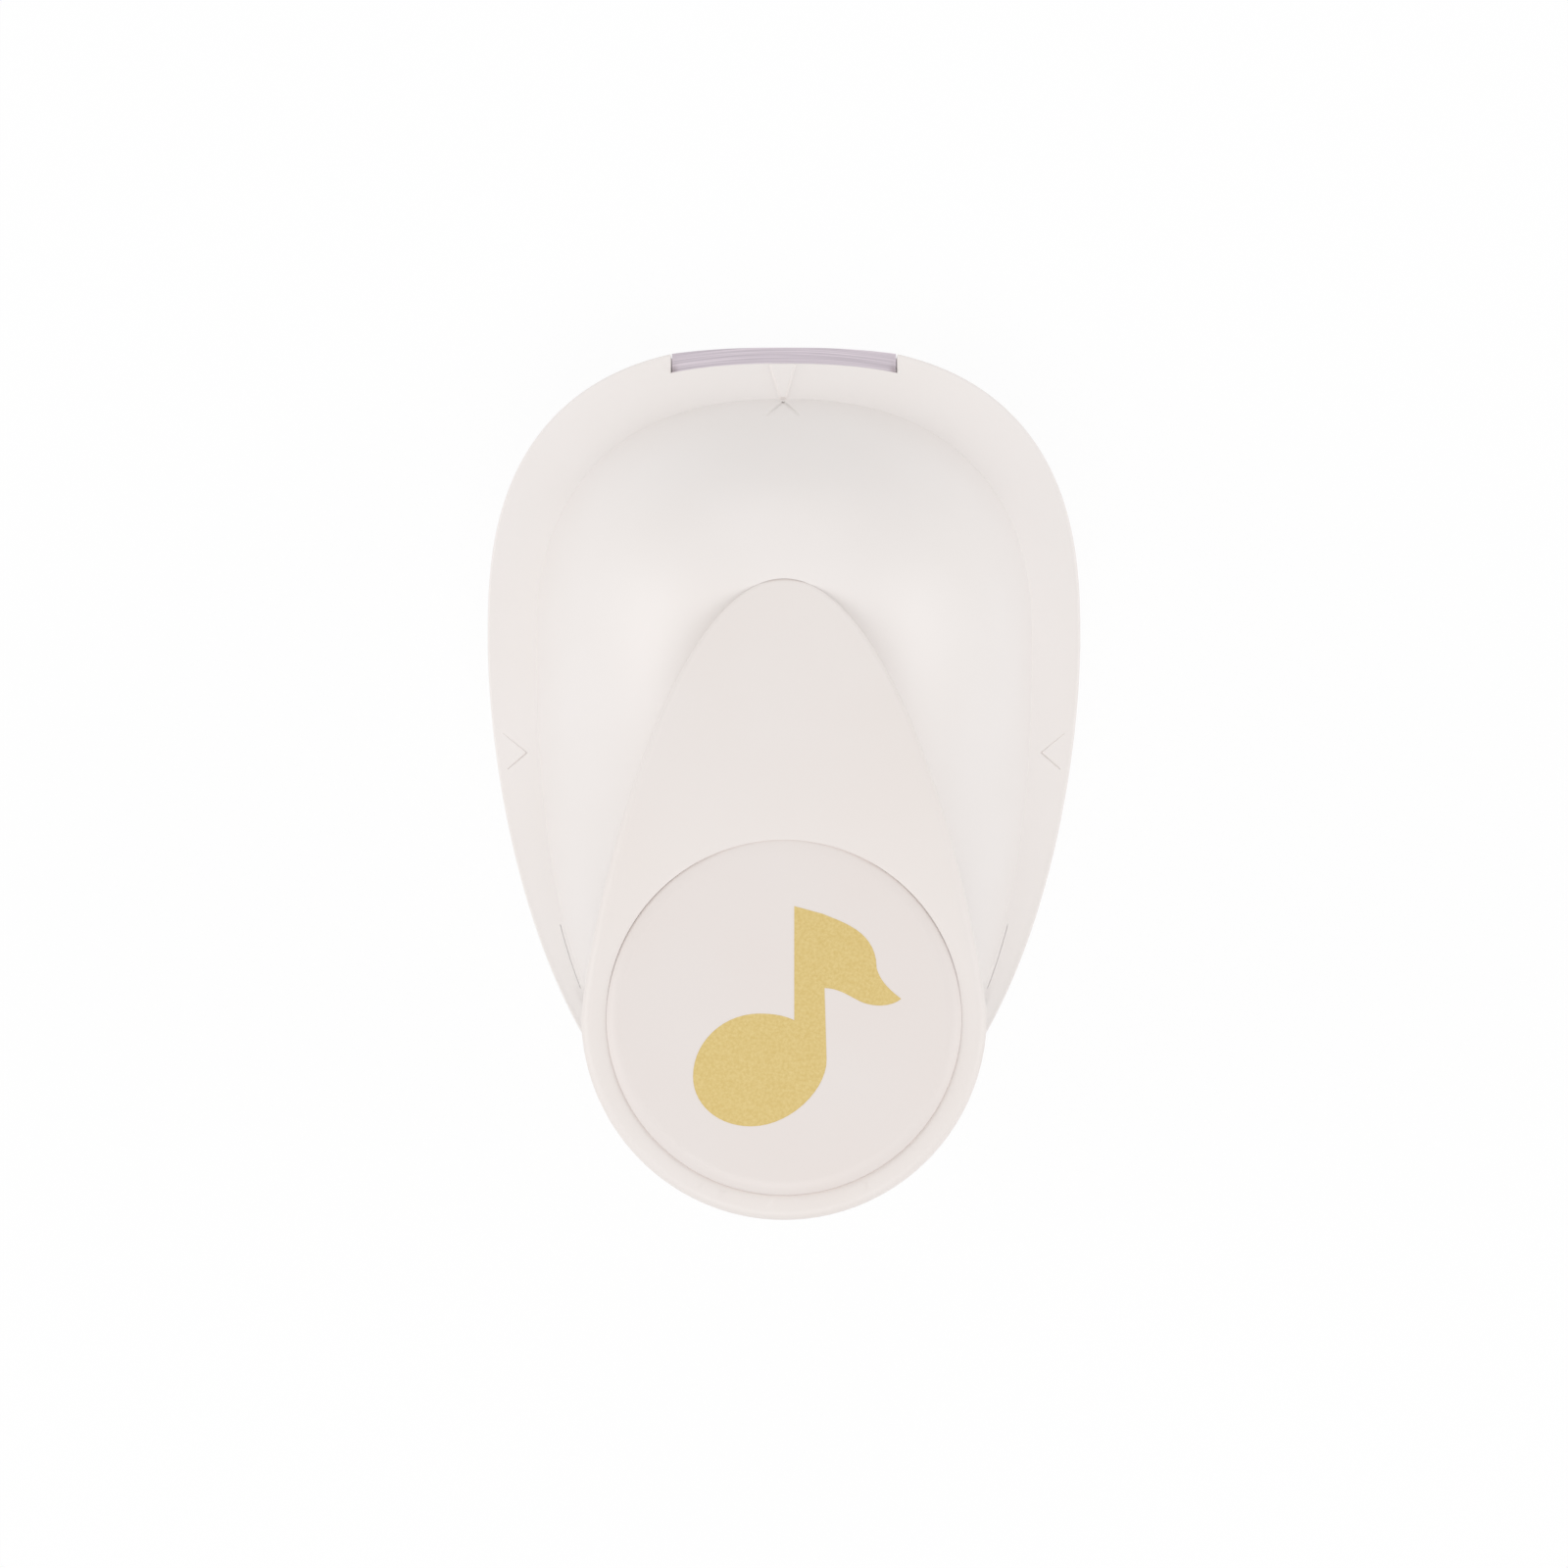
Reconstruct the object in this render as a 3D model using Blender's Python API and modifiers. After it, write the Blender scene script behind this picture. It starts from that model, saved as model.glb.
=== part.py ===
"""Lever craft punch that cuts an eighth note out of paper.

Metres, +Z up. The paper goes in at +Y, the thumb pad is at -Y, and the origin is
below the middle of the outline, on the surface that the base stands on.
"""

import math

import bmesh
import bpy
from mathutils import Matrix

# Plan of the body: an egg, widest towards the paper end
BODY_HALF_WIDTH = 0.0321
BODY_WIDEST_Y = 0.0143
BODY_FRONT_REACH = 0.0319
BODY_REAR_REACH = 0.0575
CREASE_HALF_WIDTH = 0.0268
CREASE_FRONT_REACH = 0.0259
CREASE_REAR_REACH = 0.0557
BODY_FRONT_POWERS = (2.6, 2.6)
BODY_REAR_POWERS = (2.3, 1.8)
CREASE_FRONT_POWERS = (2.35, 2.35)
CREASE_REAR_POWERS = (2.3, 2.4)
EGG_STEPS = 64

# Heights and walls of the body
BASE_HEIGHT = 0.012
PAPER_GAP = 0.0016
THROAT_END_Y = -0.017
FLANGE_THICKNESS = 0.0034
CREASE_RISE = 0.001
DOME_HEIGHT = 0.022
DOME_POWER = 3.0
DOME_WALL = 0.0022
REAR_WALL_RISE = 0.001
BASE_WALL = 0.0026
DECK_THICKNESS = 0.0035
EDGE_ROUNDING = 0.001
UNDER_EDGE_ROUNDING = 0.0004
FOOT_ROUNDING = 0.0012
ROUND_MIDDLE_SHARE = 0.3

# Fits
SEAT_GAP = 0.0003
RUNNING_GAP = 0.0004
OVERRUN = 0.001
WELD_DISTANCE = 0.000003

# Front notch, marks and relief slits of the housing
NOTCH_HALF_WIDTH = 0.0123
NOTCH_SIDE_Y = 0.0431
NOTCH_CROWN = 0.0007
MARK_DEPTH = 0.0009
MARK_HALF_WIDTH = 0.002
MARK_APEX_HALF_WIDTH = 0.0002
MARK_NICHE_DEPTH = 0.0015
SIDE_MARK_APEX_X = 0.0278
SIDE_MARK_LENGTH = 0.0023
SLIT_FRONT_Y = -0.0166
SLIT_REAR_Y = -0.0235
SLIT_WIDTH = 0.00036
SLIT_DEPTH = 0.0012

# Lever cover, with its heights above the pivot
LEVER_TIP_Y = 0.0201
LEVER_TAIL_CENTRE_Y = -0.0253
LEVER_TAIL_RADIUS = 0.0209
LEVER_SIDE_POWER = 1.26
LEVER_TIP_RISE = 0.0107
LEVER_TIP_SLOPE = math.radians(27)
LEVER_RIM_SLOPE = math.radians(5.2)
LEVER_TOP_WALL = 0.0032
LEVER_SIDE_WALL = 0.0018
LEVER_EDGE_ROUNDING = 0.0022
LEVER_DRAFT = 0.0004
SKIRT_TIP_RISE = 0.0041
SKIRT_TAIL_RISE = 0.0111
SKIRT_POWER = 2.0
SKIRT_SAG = 0.003
SKIRT_SAG_FRONT_Y = 0.011
SKIRT_SAG_REAR_Y = -0.038
LEVER_STEPS = 56
BOSS_RADIUS = 0.0035
BOSS_FRONT_Y = -0.011
BOSS_REAR_Y = -0.0195

# Thumb disc, with the height of its middle above the pivot
PAD_RADIUS = 0.0183
PAD_THICKNESS = 0.002
PAD_CENTRE_RISE = 0.023
PAD_TILT = math.radians(7)
PAD_EDGE_ROUNDING = 0.0013
PAD_FLAT_SHARE = 0.6
PAD_STEPS = 72

# Pivot, at its height above the guide frame, and press
PIVOT_Y = 0.0185
PIVOT_RISE = 0.0099
PIN_RADIUS = 0.002
PIN_HALF_LENGTH = 0.0135
CLIP_THICKNESS = 0.0006
CLIP_RADIUS = 0.0034
CLIP_GROOVE_DEPTH = 0.0006
CLIP_MOUTH = math.radians(40)
PRESS_ARM = 0.0164
PRESS_RISE = 0.0017
ROLLER_RADIUS = 0.0025
AXLE_RADIUS = 0.001

# Lever arm, a pressed steel channel, with its heights above the pivot
ARM_HALF_WIDTH = 0.0085
ARM_SHEET = 0.002
ARM_PIVOT_RADIUS = 0.0038
ARM_REAR_Y = -0.024
ARM_HEADROOM = 0.00644
ARM_TOP_FRONT_Y = -0.003
ARM_BEND_Y = 0.0085
ARM_BEND_RISE = 0.004
ARM_REAR_DEPTH = 0.0034
ARM_HAUNCH_Y = -0.0095
ARM_HAUNCH_RISE = 0.0039
ARM_FOOT_RADIUS = 0.0021

# Punch unit
DIE_THICKNESS = 0.002
DIE_HALF_WIDTH = 0.015
DIE_REAR_Y = -0.0245
TONGUE_START_Y = 0.03
CHIP_WINDOW_HALF_WIDTH = 0.0135
CHIP_WINDOW_HALF_LENGTH = 0.013
FRAME_HALF_WIDTH = 0.019
FRAME_FRONT_Y = 0.0235
FRAME_STEP_Y = -0.0115
FRAME_HEIGHT = 0.005
FRAME_FOOT_HEIGHT = 0.002
FRAME_CORNER = 0.003
EAR_THICKNESS = 0.003
EAR_RADIUS = 0.004
CUTTER_RISE = 0.0007
PLATE_THICKNESS = 0.003
PLATE_HALF_WIDTH = 0.0115
PLATE_WING_HALF_WIDTH = 0.0175
PLATE_WING_HALF_LENGTH = 0.0045
PLATE_WING_ROOT = 0.0009
PLATE_END_MARGIN = 0.0005
PLATE_CORNER = 0.0015
RIVET_RADIUS = 0.0015
RIVET_CHAMFER = 0.0003
RIVET_XS = (0.0045, 0.0115)
RIVET_Y = -0.0207

# Return springs and their posts
SPRING_X = 0.0145
SPRING_RADIUS = 0.0021
SPRING_WIRE_RADIUS = 0.0004
SPRING_TURNS = 4
SPRING_STEPS = 10
SPRING_POCKET_RADIUS = 0.0029
SPRING_POCKET_DEPTH = 0.0036
POST_RADIUS = 0.0012
POST_TOP_MARGIN = 0.0008
POST_CHAMFER = 0.0004

# Screws
HOUSING_SCREW_PLACES = ((0.0135, -0.0285), (-0.0135, -0.0285), (0.0, -0.0355))
HOUSING_SCREW_RADIUS = 0.0015
HOUSING_SCREW_HEAD_RADIUS = 0.0029
HOUSING_SCREW_HEAD_HEIGHT = 0.0022
HOUSING_SCREW_BITE = 0.0026
BASE_BOSS_RADIUS = 0.0046
HEAD_RECESS_HEIGHT = 0.005
RIB_HALF_THICKNESS = 0.0007
RIB_FOOT_Z = 0.0015
RIB_YS = (0.0245, -0.0195)
RIB_X = 0.0205
LEVER_SCREW_RADIUS = 0.0012
LEVER_SCREW_HEAD_RADIUS = 0.0024
LEVER_SCREW_HEAD_HEIGHT = 0.0018
LEVER_SCREW_BITE = 0.005
PUNCH_SCREW_RADIUS = 0.001
PUNCH_SCREW_HEAD_RADIUS = 0.0018
PUNCH_SCREW_HEAD_HEIGHT = 0.0011
PUNCH_SCREW_BITE = 0.004
PUNCH_SCREW_XS = (-0.0068, -0.0016)
PUNCH_SCREW_DROP = 0.0057
SCREW_POINT_SHARE = 0.6
SCREW_HEAD_ROUND_SHARES = (0.8, 0.3)
ROUND_STEPS = 28
SMALL_ROUND_STEPS = 16

# Eighth note, in shares of its height from the middle of its box
NOTE_HEIGHT = 0.0225
NOTE_STEPS = 5
NOTE_STEM_TOP_SHARES = ((-0.013, 0.502), (0.116, 0.467))
NOTE_CURVE_SHARES = (
    ((0.116, 0.467), (0.20, 0.43), (0.36, 0.39), (0.36, 0.222)),
    ((0.36, 0.222), (0.375, 0.16), (0.42, 0.12), (0.471, 0.08)),
    ((0.471, 0.08), (0.43, 0.045), (0.35, 0.04), (0.289, 0.067)),
    ((0.289, 0.067), (0.24, 0.09), (0.19, 0.129), (0.124, 0.129)),
    ((0.133, -0.196), (0.135, -0.33), (-0.03, -0.498), (-0.209, -0.498)),
    ((-0.209, -0.498), (-0.36, -0.498), (-0.471, -0.40), (-0.471, -0.271)),
    ((-0.471, -0.271), (-0.471, -0.12), (-0.34, 0.013), (-0.17, 0.013)),
    ((-0.17, 0.013), (-0.11, 0.013), (-0.05, 0.003), (-0.013, -0.018)),
)
DIE_CLEARANCE = 0.0003

# Places worked out from the sizes above
SLOT_TOP_Z = BASE_HEIGHT + PAPER_GAP
FLANGE_TOP_Z = SLOT_TOP_Z + FLANGE_THICKNESS
CREASE_Z = FLANGE_TOP_Z + CREASE_RISE
WELL_FLOOR_Z = FLANGE_TOP_Z + SEAT_GAP
DIE_Z = BASE_HEIGHT - DIE_THICKNESS
DECK_UNDER_Z = BASE_HEIGHT - DECK_THICKNESS
BASE_TOP_Z = SLOT_TOP_Z - SEAT_GAP
FRAME_TOP_Z = SLOT_TOP_Z + FRAME_HEIGHT
FOOT_TOP_Z = SLOT_TOP_Z + FRAME_FOOT_HEIGHT
PIVOT_Z = FRAME_TOP_Z + PIVOT_RISE
PRESS_Y = PIVOT_Y - PRESS_ARM
PRESS_Z = PIVOT_Z + PRESS_RISE
PLATE_TOP_Z = PRESS_Z - ROLLER_RADIUS - SEAT_GAP
PLATE_UNDER_Z = PLATE_TOP_Z - PLATE_THICKNESS
CUTTER_Z = SLOT_TOP_Z + CUTTER_RISE
POCKET_FLOOR_Z = FRAME_TOP_Z - SPRING_POCKET_DEPTH
EAR_INNER_X = ARM_HALF_WIDTH + RUNNING_GAP
EAR_OUTER_X = EAR_INNER_X + EAR_THICKNESS
LEVER_TIP_Z = PIVOT_Z + LEVER_TIP_RISE
SKIRT_TIP_Z = PIVOT_Z + SKIRT_TIP_RISE
SKIRT_TAIL_Z = PIVOT_Z + SKIRT_TAIL_RISE
PAD_CENTRE_Z = PIVOT_Z + PAD_CENTRE_RISE
PAD_FRONT_Y = LEVER_TAIL_CENTRE_Y + PAD_RADIUS * math.cos(PAD_TILT)
PAD_FRONT_Z = PAD_CENTRE_Z - PAD_RADIUS * math.sin(PAD_TILT)
LEVER_LENGTH = LEVER_TIP_Y - LEVER_TAIL_CENTRE_Y
WALL_TOP_Z = FRAME_TOP_Z + REAR_WALL_RISE


# Collections and materials

def new_collection(name):
    """Adds a collection under the scene's own."""
    collection = bpy.data.collections.new(name)
    bpy.context.scene.collection.children.link(collection)
    return collection


def new_material(name, colour, roughness, metallic):
    """A plain material in the colour of the real piece."""
    material = bpy.data.materials.new(name)
    material.use_nodes = True
    shader = material.node_tree.nodes["Principled BSDF"]
    shader.inputs["Base Color"].default_value = (*colour, 1.0)
    shader.inputs["Roughness"].default_value = roughness
    shader.inputs["Metallic"].default_value = metallic
    return material


# Mesh helpers

def add_object(name, bm, collection):
    """Turns a bmesh into an object, shaded smooth with its real edges sharp."""
    bmesh.ops.recalc_face_normals(bm, faces=bm.faces)
    mesh = bpy.data.meshes.new(name)
    bm.to_mesh(mesh)
    bm.free()
    mesh.shade_smooth()
    mesh.set_sharp_from_angle(angle=math.radians(35))
    piece = bpy.data.objects.new(name, mesh)
    collection.objects.link(piece)
    return piece


def close_ring(bm, ring):
    """Closes a ring that is mirrored across X = 0 with strips from side to side."""
    half = len(ring) // 2
    for step in range(half):
        right_near = ring[step]
        right_far = ring[step + 1]
        left_far = ring[-step - 1]
        left_near = ring[-step]
        corners = [right_near, right_far]
        if left_far is not right_far:
            corners.append(left_far)
        if left_near is not right_near:
            corners.append(left_near)
        bm.faces.new(corners)


def loft(name, rings, collection):
    """A closed solid through rings of points that match one to one."""
    bm = bmesh.new()
    loops = [[bm.verts.new(point) for point in ring] for ring in rings]
    count = len(loops[0])
    for lower, upper in zip(loops, loops[1:]):
        for step in range(count):
            following = (step + 1) % count
            bm.faces.new((lower[step], lower[following], upper[following], upper[step]))
    close_ring(bm, loops[0])
    close_ring(bm, loops[-1])
    return add_object(name, bm, collection)


def flat_solid(name, outlines, low, high, collection, side_view=False):
    """An outline with holes, drawn as a 2D curve and given its thickness.

    In a side view the outline is in Y and Z, and its thickness is along X.
    """
    curve = bpy.data.curves.new(name, "CURVE")
    curve.dimensions = "2D"
    curve.fill_mode = "BOTH"
    curve.extrude = (high - low) / 2
    for outline in outlines:
        spline = curve.splines.new("POLY")
        spline.points.add(len(outline) - 1)
        for point, place in zip(spline.points, outline):
            point.co = (place[0], place[1], 0.0, 1.0)
        spline.use_cyclic_u = True
    drawn = bpy.data.objects.new(name, curve)
    collection.objects.link(drawn)
    middle = (high + low) / 2
    if side_view:
        drawn.rotation_euler = (math.radians(90), 0.0, math.radians(90))
        drawn.location = (middle, 0.0, 0.0)
    else:
        drawn.location = (0.0, 0.0, middle)
    return mesh_from(drawn, collection)


def mesh_from(drawn, collection):
    """Makes a drawn curve a welded mesh in the same place and removes the curve."""
    name = drawn.name
    bpy.context.view_layer.update()
    evaluated = drawn.evaluated_get(bpy.context.evaluated_depsgraph_get())
    mesh = bpy.data.meshes.new_from_object(evaluated)
    place = drawn.matrix_world.copy()
    data = drawn.data
    bpy.data.objects.remove(drawn)
    bpy.data.curves.remove(data)
    bm = bmesh.new()
    bm.from_mesh(mesh)
    bpy.data.meshes.remove(mesh)
    bmesh.ops.remove_doubles(bm, verts=bm.verts, dist=WELD_DISTANCE)
    bm.transform(place)
    return add_object(name, bm, collection)


def cylinder(name, radius, low, high, collection, centre=(0.0, 0.0), along_x=False):
    """A round bar, upright at an XY place, or along X at a YZ place."""
    bm = bmesh.new()
    steps = ROUND_STEPS if radius > BOSS_RADIUS else SMALL_ROUND_STEPS
    bmesh.ops.create_cone(bm, cap_ends=True, segments=steps, radius1=radius, radius2=radius,
                          depth=high - low)
    middle = (high + low) / 2
    if along_x:
        bm.transform(Matrix.Rotation(math.radians(90), 4, "Y"))
        bm.transform(Matrix.Translation((middle, *centre)))
    else:
        bm.transform(Matrix.Translation((*centre, middle)))
    return add_object(name, bm, collection)


def block(name, corner_low, corner_high, collection):
    """A box between two corners."""
    bm = bmesh.new()
    bmesh.ops.create_cube(bm, size=1.0)
    size = [high - low for low, high in zip(corner_low, corner_high)]
    middle = [(high + low) / 2 for low, high in zip(corner_low, corner_high)]
    bmesh.ops.scale(bm, vec=size, verts=bm.verts)
    bm.transform(Matrix.Translation(middle))
    return add_object(name, bm, collection)


def turned(name, profile, collection, steps=SMALL_ROUND_STEPS):
    """A turned piece: a profile down its outer side, top to bottom, with a Screw modifier."""
    bm = bmesh.new()
    points = [bm.verts.new((radius, 0.0, height)) for radius, height in profile]
    for upper, lower in zip(points, points[1:]):
        bm.edges.new((upper, lower))
    mesh = bpy.data.meshes.new(name)
    bm.to_mesh(mesh)
    bm.free()
    piece = bpy.data.objects.new(name, mesh)
    collection.objects.link(piece)
    screw = piece.modifiers.new("turn", "SCREW")
    screw.steps = steps
    screw.render_steps = steps
    screw.use_merge_vertices = True
    screw.merge_threshold = WELD_DISTANCE
    screw.use_smooth_shade = True
    return piece


def boolean(target, tool, operation):
    """Cuts, joins or trims the target with a tool that isn't part of the object."""
    modifier = target.modifiers.new(operation.lower(), "BOOLEAN")
    modifier.operation = operation
    modifier.object = tool
    tool.hide_render = True
    tool.display_type = "WIRE"
    return target


def cut(target, *tools):
    for tool in tools:
        boolean(target, tool, "DIFFERENCE")
    return target


def join(target, *tools):
    for tool in tools:
        boolean(target, tool, "UNION")
    return target


def arc(centre, radius, start, end, steps):
    """Points on a round stretch, from one angle to another."""
    points = []
    for step in range(steps + 1):
        angle = start + (end - start) * step / steps
        points.append((centre[0] + radius * math.cos(angle), centre[1] + radius * math.sin(angle)))
    return points


def hole(centre, radius):
    """The outline of a round hole, turned a little so that no points of two holes line up."""
    start = math.radians(7)
    return arc(centre, radius, start, start + 2 * math.pi, SMALL_ROUND_STEPS)[:-1]


def bezier(start, start_handle, end_handle, end, steps):
    """Points on a curve between two handles, without its last point."""
    points = []
    for step in range(steps):
        share = step / steps
        rest = 1 - share
        weights = (rest ** 3, 3 * share * rest ** 2, 3 * share ** 2 * rest, share ** 3)
        corners = (start, start_handle, end_handle, end)
        points.append(tuple(sum(w * p[axis] for w, p in zip(weights, corners)) for axis in (0, 1)))
    return points


def rounded_box(low, high, radius, steps=3):
    """The outline of a flat piece with round corners."""
    quarter = math.radians(90)
    centres = (
        (high[0] - radius, high[1] - radius),
        (low[0] + radius, high[1] - radius),
        (low[0] + radius, low[1] + radius),
        (high[0] - radius, low[1] + radius),
    )
    points = []
    for turn, centre in enumerate(centres):
        points += arc(centre, radius, turn * quarter, (turn + 1) * quarter, steps)
    return points


def offset_outline(outline, distance):
    """Moves each side of a closed outline outwards by a distance."""
    count = len(outline)
    area = sum(outline[i][0] * outline[(i + 1) % count][1] - outline[(i + 1) % count][0] * outline[i][1]
               for i in range(count))
    side = math.copysign(1.0, area)
    moved = []
    for here in range(count):
        before = outline[here - 1]
        place = outline[here]
        after = outline[(here + 1) % count]
        normals = []
        for start, end in ((before, place), (place, after)):
            run = (end[0] - start[0], end[1] - start[1])
            length = math.hypot(*run)
            normals.append((side * run[1] / length, -side * run[0] / length))
        mean = (normals[0][0] + normals[1][0], normals[0][1] + normals[1][1])
        scale = 2 * distance / (mean[0] ** 2 + mean[1] ** 2)
        moved.append((place[0] + mean[0] * scale, place[1] + mean[1] * scale))
    return moved


# Outlines that several pieces share

def egg(half_width, front_reach, rear_reach, front_powers, rear_powers, share=1.0):
    """An egg outline about the widest place, starting at the middle of the paper end."""
    points = []
    for step in range(EGG_STEPS):
        angle = 2 * math.pi * step / EGG_STEPS
        across = math.sin(angle)
        along = math.cos(angle)
        powers, reach = (front_powers, front_reach) if step <= EGG_STEPS // 4 \
            or step >= 3 * EGG_STEPS // 4 else (rear_powers, rear_reach)
        x = math.copysign(half_width * share * abs(across) ** (2 / powers[0]), across)
        y = math.copysign(reach * share * abs(along) ** (2 / powers[1]), along)
        if step in (0, EGG_STEPS // 2):
            x = 0.0
        points.append((x, BODY_WIDEST_Y + y))
    return points


def body_outline(inset=0.0):
    return egg(BODY_HALF_WIDTH - inset, BODY_FRONT_REACH - inset, BODY_REAR_REACH - inset,
               BODY_FRONT_POWERS, BODY_REAR_POWERS)


def dome_outline(inset=0.0, share=1.0):
    return egg(CREASE_HALF_WIDTH - inset, CREASE_FRONT_REACH - inset, CREASE_REAR_REACH - inset,
               CREASE_FRONT_POWERS, CREASE_REAR_POWERS, share)


def raised(outline, height):
    """Gives every point of an outline one height."""
    return [(x, y, height) for x, y in outline]


def body_front_y(x):
    """Where the front edge of the body lies at a place across it."""
    power = BODY_FRONT_POWERS[0]
    return BODY_WIDEST_Y + BODY_FRONT_REACH * (1 - (abs(x) / BODY_HALF_WIDTH) ** power) ** (1 / power)


def crease_x(y):
    """Half the width of the dome's foot behind its widest place."""
    across, along = CREASE_REAR_POWERS
    share = (BODY_WIDEST_Y - y) / CREASE_REAR_REACH
    return CREASE_HALF_WIDTH * (1 - share ** along) ** (1 / across)


def lever_outline(inset=0.0):
    """The lever from above: a long bow that ends in a round tail."""
    half = LEVER_STEPS // 2
    quarter = half // 2
    half_width = LEVER_TAIL_RADIUS - inset
    right = []
    for step in range(half + 1):
        if step <= quarter:
            angle = math.radians(90) * step / quarter
            reach = (LEVER_LENGTH - inset) * math.cos(angle) ** (2 / LEVER_SIDE_POWER)
            if step == quarter:
                reach = 0.0
            right.append((half_width * math.sin(angle), LEVER_TAIL_CENTRE_Y + reach))
        else:
            angle = math.radians(90) * (step - quarter) / (half - quarter)
            right.append((half_width * math.cos(angle),
                          LEVER_TAIL_CENTRE_Y - half_width * math.sin(angle)))
    right[-1] = (0.0, right[-1][1])
    left = [(-x, y) for x, y in reversed(right[1:-1])]
    return right + left


def lever_top_z(y):
    """The height of the lever's top along its length."""
    if y <= PAD_FRONT_Y:
        return PAD_FRONT_Z + (PAD_FRONT_Y - y) * math.tan(LEVER_RIM_SLOPE)
    run = LEVER_TIP_Y - PAD_FRONT_Y
    share = (LEVER_TIP_Y - y) / run
    start_pull = share ** 3 - 2 * share ** 2 + share
    end_pull = share ** 3 - share ** 2
    blend = 3 * share ** 2 - 2 * share ** 3
    return (LEVER_TIP_Z + (PAD_FRONT_Z - LEVER_TIP_Z) * blend
            + run * math.tan(LEVER_TIP_SLOPE) * start_pull
            + run * math.tan(LEVER_RIM_SLOPE) * end_pull)


def skirt_z(y):
    """The height of the lever's lower edge: it rises to the tail and sags over the punch."""
    run = LEVER_LENGTH + LEVER_TAIL_RADIUS
    share = max(LEVER_TIP_Y - y, 0.0) / run
    rise = (SKIRT_TAIL_Z - SKIRT_TIP_Z) * share ** SKIRT_POWER
    sag_share = (SKIRT_SAG_FRONT_Y - y) / (SKIRT_SAG_FRONT_Y - SKIRT_SAG_REAR_Y)
    sag_share = min(max(sag_share, 0.0), 1.0)
    return SKIRT_TIP_Z + rise - SKIRT_SAG * math.sin(math.pi * sag_share) ** 2


def note_outline(centre, clearance=0.0):
    """The eighth note that the punch cuts."""
    shares = [NOTE_STEM_TOP_SHARES[0]]
    for number, curve in enumerate(NOTE_CURVE_SHARES):
        shares += bezier(*curve, NOTE_STEPS)
        if number in (3, 7):
            shares.append(curve[3])
    points = [(centre[0] + x * NOTE_HEIGHT, centre[1] + y * NOTE_HEIGHT) for x, y in shares]
    return offset_outline(points, clearance) if clearance else points


def punch_centre():
    return (0.0, PRESS_Y)


def frame_outline(gap=0.0):
    return rounded_box((-FRAME_HALF_WIDTH - gap, FRAME_STEP_Y - gap),
                       (FRAME_HALF_WIDTH + gap, FRAME_FRONT_Y + gap), FRAME_CORNER)


def foot_outline(gap=0.0):
    return rounded_box((-DIE_HALF_WIDTH - gap, DIE_REAR_Y - gap),
                       (DIE_HALF_WIDTH + gap, FRAME_STEP_Y + FRAME_CORNER), FRAME_CORNER / 2)


def die_outline(gap=0.0):
    """The die plate: a wide rear part and a tongue that reaches the front edge."""
    tongue = NOTCH_HALF_WIDTH - SEAT_GAP + gap
    steps = 8
    front = [(tongue - 2 * tongue * step / steps) for step in range(steps + 1)]
    overrun = OVERRUN if gap else 0.0
    points = [(DIE_HALF_WIDTH + gap, DIE_REAR_Y - gap), (DIE_HALF_WIDTH + gap, TONGUE_START_Y + gap),
              (tongue, TONGUE_START_Y + gap)]
    points += [(x, body_front_y(x) + overrun) for x in front]
    points += [(-tongue, TONGUE_START_Y + gap), (-DIE_HALF_WIDTH - gap, TONGUE_START_Y + gap),
               (-DIE_HALF_WIDTH - gap, DIE_REAR_Y - gap)]
    return points


# The body

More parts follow.
